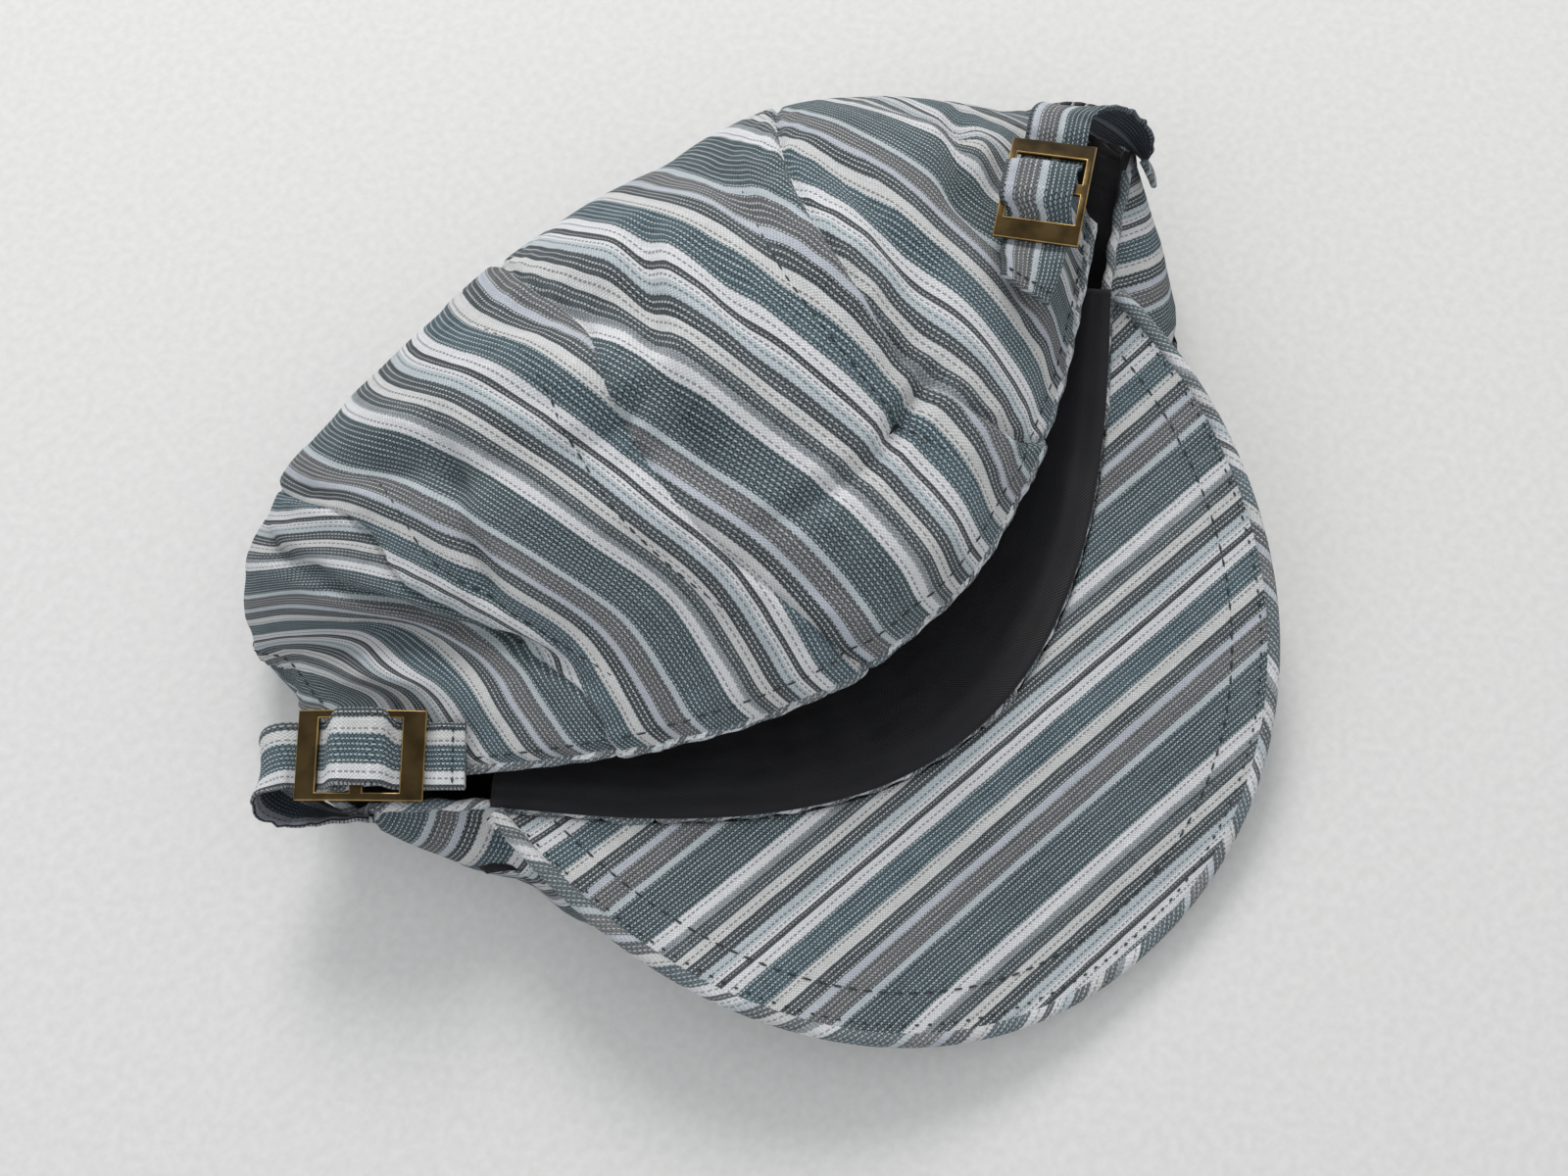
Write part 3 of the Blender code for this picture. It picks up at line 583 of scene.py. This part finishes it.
# Crown: the eight panels. Stripes run nearly along most of them and slant in three beside the straps.
panels = {
    "angles": (-4, -6, -2, -18, 20, 4, -4, -20),  # of the stripes to the panel's middle, in degrees
    "middles": (0.60, 1.75, 2.62, 3.50, 4.50, 5.50, 6.50, 7.50),
    "shifts": (0.0, 3.0, 21.0, 9.0, 30.0, 12.0, 24.0, 38.0),  # along the repeat, in millimetres
    "perPanel": 36, "rows": 116, "crowding": 0.72, "rowPower": 1.08,
    "lyingBelow": 0.0015,  # height up to which the cloth is taken to lie flat
}


def spacedSeams(u):
    # columns lie closer together at the seams
    seam = u * 8
    return seam - panels["crowding"] / (2 * math.pi) * np.sin(2 * math.pi * seam)


def crownPlace(u, v):
    seam = spacedSeams(u)
    start = hemReach(seam)
    return crownPoint(seam, start + (1 - start) * v ** panels["rowPower"])


def panelCloth(seam, reach, panel):
    # cloth coordinates across and along the stripes of the panel that a face is in
    panel = np.clip(panel, 0, 7).astype(int)
    form = wandered(seam, reach)
    width = panelWidth(np.clip(form, panel + 0.001, panel + 0.999), reach)
    x = (form - np.array(panels["middles"])[panel]) * width
    y = reach * crown["panelLength"]
    angle = np.radians(np.array(panels["angles"]))[panel]
    shift = np.array(panels["shifts"])[panel] / 1000
    across = x * np.cos(angle) + y * np.sin(angle) + shift
    along = y * np.cos(angle) - x * np.sin(angle)
    return np.stack([across, along], -1) * 10


def crownCloth(u, v, faceU, faceV):
    seam = spacedSeams(u)
    start = hemReach(seam)
    panel = np.floor(spacedSeams(faceU)) * np.ones_like(u)
    return panelCloth(seam, start + (1 - start) * v ** panels["rowPower"], panel)


columns = panels["perPanel"] * 8
shell = clothGrid("crownShell", columns, panels["rows"], crownPlace, crownCloth, close=True, flip=True)

# The cloth that lies flat is smoothed, then its faces that are turned over are spread, in twenty rounds
bm = bmesh.new()
bm.from_mesh(shell.data)
lying = [v for v in bm.verts if v.co.z < panels["lyingBelow"] and not v.is_boundary]
for step in range(4):
    bmesh.ops.smooth_vert(bm, verts=lying, factor=0.5, use_axis_x=True, use_axis_y=True)
for step in range(20):
    bm.normal_update()
    low = [f for f in bm.faces if f.calc_center_median().z < panels["lyingBelow"]]
    turned = [f for f in low if f.normal.z > 0]
    tangled = list(dict.fromkeys(v for face in turned for v in face.verts))
    bmesh.ops.smooth_vert(bm, verts=tangled, factor=0.7, use_axis_x=True, use_axis_y=True)
bm.to_mesh(shell.data)
bm.free()
wall(shell, crown["cloth"])
shell.modifiers["wall"].material_offset = 1
finishPiece(shell, shellCloth, "striped_cloth", "crown")
shell.data.materials.append(linerCloth)
print("cap: crown made")


def pathFrames(points, closed):
    if closed:
        forward = np.roll(points, -1, 0) - np.roll(points, 1, 0)
    else:
        forward = np.gradient(points, axis=0)
    return forward / np.linalg.norm(forward, axis=1, keepdims=True)


def tube(name, points, side, radius, segments, closed=False, clothTurn=0.7, squeeze=1.0):
    # a round cord of cloth along a path; side is a direction across the path at each point
    points, side = np.array(points), np.array(side)
    forward = pathFrames(points, closed)
    side = side - forward * (side * forward).sum(1, keepdims=True)
    side /= np.linalg.norm(side, axis=1, keepdims=True)
    other = np.cross(forward, side)
    if closed:
        points, side, other = (np.concatenate([a, a[:1]]) for a in (points, side, other))
    length = np.append(0, np.cumsum(np.linalg.norm(np.diff(points, axis=0), axis=1)))

    def place(u, v):
        i = np.round(v * (len(points) - 1)).astype(int)
        turn = u * 2 * math.pi
        ring = side[i] * np.cos(turn)[:, None] + other[i] * (np.sin(turn) * squeeze)[:, None]
        return points[i] + ring * radius

    def cloth(u, v, faceU, faceV):
        run = np.interp(v * (len(points) - 1), np.arange(len(points)), length)
        around = u * 2 * math.pi * radius
        return np.stack([run * math.sin(clothTurn) + around * math.cos(clothTurn), run], -1) * 10

    obj = clothGrid(name, segments, len(points) - 1, place, cloth, close=True)
    bm = bmesh.new()
    bm.from_mesh(obj.data)
    if not closed:
        bmesh.ops.holes_fill(bm, edges=[e for e in bm.edges if e.is_boundary])
    bmesh.ops.recalc_face_normals(bm, faces=bm.faces)
    bm.to_mesh(obj.data)
    bm.free()
    return obj


# Rolled hem edge
hem = {
    "radius": 0.00125, "points": 760, "stitchIn": 0.0058,
    "stitchRuns": ((0.36, 3.64), (4.05, 7.95)),  # from seam to seam, between the notches
    "seamStitches": (0.012, 0.72),  # reaches between which a seam is topstitched
}

hemSeams = np.arange(hem["points"]) / hem["points"] * 8
hemStart = hemReach(hemSeams)
hemLine = crownPoint(hemSeams, hemStart + 0.002)
hemOut = crownNormal(wandered(hemSeams, hemStart), hemStart)
hemLine = hemLine - hemOut * crown["cloth"] * 0.5
hemLine[:, 2] = np.maximum(hemLine[:, 2], hem["radius"])
hemPiping = tube("hemPiping", hemLine, hemOut, hem["radius"], 10, closed=True)
finishPiece(hemPiping, pipingCloth, "striped_cloth")


def stitchRow(name, lines, length=0.0024, gap=0.0011, radius=0.00028):
    # one small capsule for each stitch; a line is its points and the directions out of the cloth
    bm = bmesh.new()
    for points, outs in lines:
        points, outs = np.array(points), np.array(outs)
        run = np.append(0, np.cumsum(np.linalg.norm(np.diff(points, axis=0), axis=1)))
        for start in np.arange(0, run[-1] - length, length + gap):
            places = (start, start + length)
            ends = [np.array([np.interp(at, run, column) for column in points.T]) for at in places]
            out = Vector([float(np.interp(start, run, column)) for column in outs.T]).normalized()
            forward = Vector(ends[1] - ends[0])
            if forward.length < 1e-6:
                continue
            half = forward.length / 2
            forward.normalize()
            side = forward.cross(out).normalized()
            turn = Matrix((side, forward, side.cross(forward))).transposed().to_4x4()
            middle = Vector((ends[0] + ends[1]) / 2) + out * radius * 0.35
            middle.z = max(middle.z, radius)
            lay = Matrix.Translation(middle) @ turn @ Matrix.Diagonal((radius, half, radius, 1))
            bmesh.ops.create_icosphere(bm, subdivisions=1, radius=1.0, matrix=lay)
    return makeObject(name, bm)


def crownLine(seams, reaches):
    points = crownPoint(seams, reaches)
    form = wandered(seams, reaches)
    return points, crownNormal(form, reaches)


# Topstitching beside each seam, and round the hem
seamLines = []
reaches = np.linspace(*hem["seamStitches"], 150)
for index in range(8):
    aside = crown["topstitch"] / panelWidth(np.full(len(reaches), index + 0.01), reaches)
    seamLines.append(crownLine(np.mod(index + seamSide(index) * aside, 8), reaches))
crownStitches = stitchRow("crownTopstitch", seamLines)
finishPiece(crownStitches, thread, "striped_cloth")

hemLines = []
for first, last in hem["stitchRuns"]:
    seams = np.linspace(first, last, 400)
    hemLines.append(crownLine(seams, hemReach(seams) + hem["stitchIn"] / crown["panelLength"]))
hemStitches = stitchRow("hemTopstitch", hemLines)
finishPiece(hemStitches, thread, "striped_cloth")
print("cap: hem and topstitching made")


# Peak
peak = {
    "width": 0.194, "shift": 0.0045, "depth": 0.1175, "thick": 0.0026, "tipLift": 0.0045, "curl": 0.024,
    "corner": 0.003, "fullness": 2.10, "gap": 0.0009, "edgeRadius": 0.0019, "stitchIn": 0.0100,
    "columns": 110, "rows": 44, "solid": 0.003, "stripesFrom": 0.004, "edgePoints": 420,
}


def hemPoint(across):
    return ringArc(ringSizes(np.zeros(np.shape(across))), np.arcsin(across), "front")


def hemOutward(across, step=0.01):
    along = hemPoint(np.minimum(across + step, 1.0)) - hemPoint(np.maximum(across - step, -1.0))
    out = np.stack([along[..., 1], -along[..., 0], np.zeros(along.shape[:-1])], -1)
    return out / np.linalg.norm(out, axis=-1, keepdims=True)


def peakPoint(across, out):
    baseShare = (peak["width"] / 2 - peak["corner"]) / (crown["width"] / 2)
    base = hemPoint(across * baseShare) + hemOutward(across * baseShare) * peak["gap"]
    angle = across * math.pi / 2
    power = 2 / peak["fullness"]
    x = crown["x"] + peak["shift"] + peak["width"] / 2 * np.sign(angle) * np.abs(np.sin(angle)) ** power
    left, right = hemPoint(np.array([-baseShare, baseShare]))[:, 1]
    cornerY = (right + left) / 2 + (right - left) / 2 * np.sin(angle)
    y = cornerY - peak["depth"] * np.maximum(np.cos(angle), 0) ** power
    z = peak["tipLift"] + peak["solid"] + peak["curl"] * np.abs(np.sin(angle)) ** (2 * power)
    edge = np.stack([x, y, z], -1)
    return base * (1 - out)[..., None] + edge * out[..., None]


def peakFace(across, out):
    # the face with the slight waves of its cover
    point = peakPoint(across, out)
    x, y = point[..., 0], point[..., 1]
    swell = np.sin(math.pi * np.clip(out, 0, 1)) ** 0.7
    waves = 0.0007 * softNoise(x, y, 38, 70, 1.3) + 0.00025 * softNoise(x, y, 160, 200, 4.2)
    point[..., 2] += swell * waves
    return point


def peakAcross(u):
    # columns lie closer together at the corners
    return np.sin((u * 2 - 1) * math.pi / 2 * 0.999) * 0.55 + (u * 2 - 1) * 0.45


def peakPlace(u, v):
    return peakFace(peakAcross(u), v)


def peakCloth(u, v, faceU, faceV):
    point = peakPoint(peakAcross(u), v)
    return np.stack([point[..., 1] + peak["stripesFrom"], point[..., 0]], -1) * 10


columns, rows = peak["columns"], peak["rows"]
peakCover = clothGrid("peakCover", columns, rows, peakPlace, peakCloth, close=True, flip=True)
wall(peakCover, peak["thick"])
finishPiece(peakCover, shellCloth, "striped_cloth", "peak")

edgeShare = np.linspace(-1, 1, peak["edgePoints"])
edgeLine = peakPoint(edgeShare, np.ones(peak["edgePoints"]))
edgeLine[:, 2] -= peak["thick"] / 2
inward = peakPoint(edgeShare, np.full(peak["edgePoints"], 0.97)) - edgeLine
peakEdge = tube("peakEdge", edgeLine, -inward, peak["edgeRadius"], 12, squeeze=0.95)
finishPiece(peakEdge, pipingCloth, "striped_cloth")


def peakInset(distance, first, last, count):
    # a line on the peak's face at an even distance inside its edge
    share = np.linspace(first, last, count)
    outer, base = peakPoint(share, np.ones(count)), peakPoint(share, np.zeros(count))
    run = np.linalg.norm(outer - base, axis=1)
    tangent = pathFrames(outer, False)
    slant = np.sqrt(np.maximum(1 - (((base - outer) / run[:, None] * tangent).sum(1)) ** 2, 0.05))
    out = 1 - distance / slant / run
    keep = out > 0.04
    return peakFace(share[keep], out[keep]), np.tile((0, 0, 1.0), (keep.sum(), 1))


peakStitches = stitchRow("peakTopstitch", [peakInset(peak["stitchIn"], -0.93, 0.93, 500)])
finishPiece(peakStitches, thread, "striped_cloth")
edgeStitches = stitchRow("peakEdgeStitch", [peakInset(0.0030, -0.97, 0.97, 600)], length=0.0012, gap=0.0018)
finishPiece(edgeStitches, thread, "striped_cloth")
print("cap: peak made")


# Sweatband
band = {
    "width": 0.031, "thick": 0.0010, "drop": 0.010, "end": 0.85, "taper": 0.9, "backEnd": 0.50,
    "gap": 0.0003, "halfLength": 0.11, "inside": 0.0033,  # behind the crown's outer face
}


def frontBand(u, v):
    across = np.sin((u * 2 - 1) * band["end"])
    level = 2 * band["gap"] + 0.0012
    drop = np.interp(v, (0, 0.20, 0.5, 1.0), (0, 0, 0.36, 1.0)) * band["drop"]
    wide = band["width"] * (1 - band["taper"] * across**4)
    point = hemPoint(across) - hemOutward(across) * (v * wide)[:, None]
    point[:, 2] += level - drop
    ease = np.clip(v * 4, 0, 1)
    x, y = across * band["halfLength"], v * 0.03
    pucker = 0.0007 * softNoise(x, y, 170, 30, 2.2) + 0.0008 * softNoise(x, y, 60, 50, 5.1)
    roll = 0.0005 * np.exp(-(((v - 0.17) / 0.05) ** 2))
    point[:, 2] += ease * pucker - roll
    return point


def frontBandCloth(u, v, faceU, faceV):
    return np.stack([v * band["width"], (u * 2 - 1) * band["halfLength"]], -1) * 10


bandFront = clothGrid("sweatbandFront", 160, 26, frontBand, frontBandCloth)
wall(bandFront, band["thick"])
finishPiece(bandFront, linerCloth, "sweatband", "sweatband_front")


def backBand(u, v):
    seam = band["backEnd"] + u * (4 - 2 * band["backEnd"])
    reach = (0.02 + 0.98 * v) * band["width"] / crown["panelLength"]
    depth = foldDepth(seam, reach, crown["folds"], crown["foldFade"])
    return crownForm(seam, reach) - crownNormal(seam, reach) * (depth + band["inside"])[:, None]


def backBandCloth(u, v, faceU, faceV):
    return np.stack([v * band["width"], u * 0.25], -1) * 10


bandBack = clothGrid("sweatbandBack", 140, 12, backBand, backBandCloth, flip=True)
wall(bandBack, band["thick"])
finishPiece(bandBack, linerCloth, "sweatband", "sweatband_back")
print("cap: sweatband made")


# Straps, each with its slider buckle
strap = {
    "width": 0.0148, "thick": 0.0016, "gap": 0.0003,
    # the sewn end and the buckle's middle: seam from the side, reach, and lift as a share of the width
    "routes": {
        "right": ((1.106, 0.147, 0.24), (0.815, 0.188, 0.45)),
        "left": ((0.629, 0.035, 0.12), (0.311, 0.042, 0.31)),
    },
    "straight": {"right": 0.0490, "left": 0.0390},
    "loop": {"right": (0.010, 0.012), "left": (0.011, 0.028)},  # how far its two ends draw it out
    "tilt": {"right": 0.70, "left": 0.12}, "lean": {"right": -0.45, "left": 0.10},
    "facing": {"right": -0.75, "left": -2.27}, "end": {"right": 0.14, "left": 0.22},
    "endLift": 0.0014, "endRise": {"right": 0.005, "left": 0.0}, "weaveFull": 0.507, "weaveEnd": 0.64,
    "stripesFrom": {"right": 0.0248, "left": 0.0398}, "stitchIn": 0.0024, "points": 150,
    "waves": {"size": 0.00014, "pitch": 0.006},  # along both edges
    # over the buckle's middle bar: half its length, how it rises, and how it spreads past the far rail
    "bulge": {"near": 0.0078, "fade": 0.0035, "up": 0.0013, "edges": 0.0006, "wider": 0.14, "past": 0.0018},
    "fray": {"from": 0.022, "fade": 0.008, "size": 0.0004, "pitch": 0.0043},
}
buckle = {
    "length": 0.0285, "thick": 0.0011, "bow": 0.0020, "bar": 0.0050, "middleBar": 0.0030,
    "rail": 0.0018, "room": 0.0007, "rounding": 0.00028,
}


def squared(wide, forward):
    wide = wide - forward * (wide * forward).sum(1, keepdims=True)
    return wide / np.linalg.norm(wide, axis=1, keepdims=True)


def strapRoute(side):
    hemward = -1 if side == "right" else 1  # whether the direction across points to the hem
    rows = np.array(strap["routes"][side])
    seam = rows[:, 0] if side == "right" else 4 - rows[:, 0]
    normal = crownNormal(seam, rows[:, 1])
    lift = rows[:, 2] * strap["width"] + strap["thick"] / 2 + 2 * strap["gap"]
    ends = crownForm(seam, rows[:, 1]) + normal * lift[:, None]
    start = ends[0]
    buckleRun = np.linalg.norm(ends[1] - start)
    onward = (ends[1] - start) / buckleRun
    straight, lean, facing = strap["straight"][side], strap["lean"][side], strap["facing"][side]
    top = start + onward * straight

    outward, upward = np.array([math.cos(facing), math.sin(facing), 0]), np.array([0, 0, 1])
    endWide = hemward * (upward * math.cos(lean) + outward * math.sin(lean))
    end = crownForm(np.array(8 - strap["end"][side] if side == "right" else 4 + strap["end"][side]), 0.0)
    end = end + outward * strap["endLift"] + upward * strap["endRise"][side]
    end = end - hemward * endWide * strap["width"] / 2
    endOnward = hemward * np.cross(upward, outward)

    t = np.linspace(0, 1, 81)[:, None]
    leaving, arriving = strap["loop"][side]
    curve = (1 - t) ** 3 * top + 3 * (1 - t) ** 2 * t * (top + onward * leaving)
    curve = curve + 3 * (1 - t) * t**2 * (end - endOnward * arriving) + t**3 * end
    places = np.concatenate([[start], curve])
    length = np.append(0, np.cumsum(np.linalg.norm(np.diff(places, axis=0), axis=1)))
    run = np.linspace(0, length[-1], strap["points"])
    line = np.stack([np.interp(run, length, places[:, k]) for k in range(3)], -1)

    flat = np.cross(normal[0], onward)
    flat = flat / np.linalg.norm(flat)
    tilt = strap["tilt"][side]
    raised = flat * math.cos(tilt) + hemward * np.cross(onward, flat) * math.sin(tilt)
    settled = eased(run / (buckleRun - buckle["length"] / 2))[:, None]
    turned = eased((run - straight) / (run[-1] - straight))[:, None]
    wide = flat * (1 - settled) + raised * settled
    wide = wide * (1 - turned) + endWide * turned
    return line, squared(wide, pathFrames(line, False)), run - buckleRun


def buckleFrame(side):
    line, wide, run = strapRoute(side)
    forward = pathFrames(line, False)
    i = int(np.argmin(np.abs(run)))
    return line[i], forward[i], wide[i], np.cross(forward[i], wide[i])


def bow(u):
    return buckle["bow"] * (1 - (2 * u / buckle["length"]) ** 2)


def weaveUnder(u):
    clear = (strap["thick"] + buckle["thick"]) / 2 + strap["gap"]
    wave = np.cos(np.clip(u / (buckle["length"] / 2 - buckle["bar"] / 2), -1.2, 1.2) * math.pi)
    return clear * np.clip(1.5 * wave, -1, 1)


def strapLine(side):
    line, wide, run = strapRoute(side)
    middle, forward, across, out = buckleFrame(side)
    u = (line - middle) @ forward
    toEnd = strap["weaveEnd"] - np.abs(run) / buckle["length"]
    near = eased(toEnd / (strap["weaveEnd"] - strap["weaveFull"]))
    onBuckle = middle + forward * u[:, None] + out * (bow(u) + weaveUnder(u))[:, None]
    line = line * (1 - near)[:, None] + onBuckle * near[:, None]
    forward = pathFrames(line, False)
    wide = squared(wide, forward)
    return line, wide, np.cross(forward, wide), run


def makeStrap(side):
    line, wide, up, run = strapLine(side)
    half, thick = strap["width"] / 2, strap["thick"] / 2

    def section(u):
        # flat faces with plump rolled edges
        turn = u * 2 * math.pi
        c, s = np.cos(turn), np.sin(turn)
        x = np.sign(c) * np.abs(c) ** 0.35 * half
        roll = 1 + 0.25 * np.exp(-(((np.abs(x) - half * 0.88) / (half * 0.08)) ** 2))
        z = np.sign(s) * np.abs(s) ** 0.5 * thick * 0.86 * roll
        return x, z

    hemward = -1 if side == "right" else 1
    waves, bulge, fray = strap["waves"], strap["bulge"], strap["fray"]
    plump = eased((bulge["near"] - np.abs(run)) / bulge["fade"])

    def place(u, v):
        # over the middle bar the strap bulges up and over the rail that is away from the hem
        i = np.round(v * (len(line) - 1)).astype(int)
        x, z = section(u)
        z = z + waves["size"] * np.sin(run[i] * 2 * math.pi / waves["pitch"]) * (np.abs(x) > half * 0.6)
        z = z + plump[i] * (bulge["up"] - bulge["edges"] * (x / half) ** 2)
        x = x * (1 + bulge["wider"] * plump[i]) - hemward * bulge["past"] * plump[i]
        frayed = eased((run[i] - fray["from"]) / fray["fade"]) * (np.abs(x) > half * 0.9)
        ragged = np.sin(run[i] * 2 * math.pi / fray["pitch"] + np.sin(run[i] * 900))
        x = x + fray["size"] * frayed * np.sign(x) * ragged
        return line[i] + wide[i] * x[:, None] + up[i] * z[:, None]

    def cloth(u, v, faceU, faceV):
        x, z = section(u)
        return np.stack([x + z + strap["stripesFrom"][side], v * (run[-1] - run[0])], -1) * 10

    # faces on the strap's lower side take the second material, the cloth with painted shade
    def inner(u, v):
        return u > 0.5

    name = "strap" + side.capitalize()
    obj = clothGrid(name, 48, len(line) - 1, place, cloth, close=True, second=inner)
    bm = bmesh.new()
    bm.from_mesh(obj.data)
    bmesh.ops.holes_fill(bm, edges=[e for e in bm.edges if e.is_boundary])
    bmesh.ops.recalc_face_normals(bm, faces=bm.faces)
    bm.to_mesh(obj.data)
    bm.free()
    finishPiece(obj, shellCloth, "striped_cloth", "strap_" + side)
    obj.data.materials.append(shadedCloth)

    # the row of stitches that holds the sewn end
    i = int(np.argmin(np.abs(run - run[0] - strap["stitchIn"])))
    share = np.linspace(-0.9, 0.9, 40)
    points = line[i] + wide[i] * (share * half)[:, None] + up[i] * thick * 0.95
    ups = np.tile(up[i], (len(share), 1))
    stitches = stitchRow("strapStitch" + side.capitalize(), [(points, ups)], length=0.0016, gap=0.0006)
    finishPiece(stitches, thread, "striped_cloth")


def makeBuckle(side):
    middle, forward, across, out = buckleFrame(side)
    half, window = buckle["length"] / 2, buckle["length"] / 2 - buckle["bar"]
    us = np.unique(np.round(np.concatenate([
        [-half, -window, -buckle["middleBar"] / 2, buckle["middleBar"] / 2, window, half],
        np.linspace(-half, half, 25),
    ]), 5))
    inner = strap["width"] / 2 + buckle["room"]
    vs = np.array([-inner - buckle["rail"], -inner, -inner / 3, inner / 3, inner, inner + buckle["rail"]])
    bm = bmesh.new()
    bmesh.ops.create_grid(bm, x_segments=len(us) - 1, y_segments=len(vs) - 1, size=0.5)
    for vert in bm.verts:
        u = us[int(round((vert.co.x + 0.5) * (len(us) - 1)))]
        v = vs[int(round((vert.co.y + 0.5) * (len(vs) - 1)))]
        vert.co = (u, v, 0)
    openFaces = []
    for face in bm.faces:
        centre = face.calc_center_median()
        if buckle["middleBar"] / 2 < abs(centre.x) < window and abs(centre.y) < inner:
            openFaces.append(face)
    bmesh.ops.delete(bm, geom=openFaces, context="FACES")
    for vert in bm.verts:
        u, v = vert.co.x, vert.co.y
        vert.co = middle + forward * u + across * v + out * bow(u)
    bmesh.ops.recalc_face_normals(bm, faces=bm.faces)
    obj = makeObject("slider" + side.capitalize(), bm)
    wall(obj, buckle["thick"], offset=0)
    rounded = obj.modifiers.new("edges", "BEVEL")
    rounded.width = buckle["rounding"]
    rounded.segments = 3
    rounded.limit_method = "ANGLE"
    rounded.angle_limit = math.radians(50)
    finishPiece(obj, brass, "buckle", "buckle_" + side)
    # the rounded edges take the lighter brass of wear and painted highlight
    obj.data.materials.append(wornHighlightBrass)
    rounded.material = 1


for side in ("left", "right"):
    makeStrap(side)
    makeBuckle(side)
print("cap: straps and buckles made")


# Floor and lights
studio = {"key": 9.8, "fill": 1.3, "world": 0.64}

bm = bmesh.new()
bmesh.ops.create_grid(bm, x_segments=1, y_segments=1, size=3)
floor = makeObject("floor", bm)
paper = Shader("floorPaper", 0.9)
grain = paper.noise(paper.place(), 420.0, 2.0)
paperColour = paper.ramp(grain, [(0.3, rgb(222, 222, 220)), (0.7, rgb(230, 230, 228))])
paper.put(paper.bsdf.inputs["Base Color"], paperColour)
floor.data.materials.append(paper.material)
floor.location = (0, 0, -0.0003)


def softLight(name, place, size, power, colour):
    lamp = bpy.data.lights.new(name, "AREA")
    lamp.shape = "DISK"
    lamp.size = size
    lamp.energy = power
    lamp.color = colour
    obj = bpy.data.objects.new(name, lamp)
    obj.location = place
    obj.rotation_euler = (Vector((0, 0, 0.02)) - Vector(place)).to_track_quat("-Z", "Y").to_euler()
    bpy.context.scene.collection.objects.link(obj)


softLight("windowLight", (0.55, 0.95, 0.90), 0.55, studio["key"], (1.0, 0.985, 0.965))
softLight("sideLight", (-1.0, 0.1, 0.8), 0.8, studio["fill"], (0.88, 0.93, 1.0))

world = bpy.data.worlds.new("studio")
world.use_nodes = True
world.node_tree.nodes["Background"].inputs[0].default_value = (0.97, 0.98, 1.0, 1)
world.node_tree.nodes["Background"].inputs[1].default_value = studio["world"]
bpy.context.scene.world = world
bpy.context.scene.view_settings.view_transform = "Standard"
print("cap: floor and lights made")
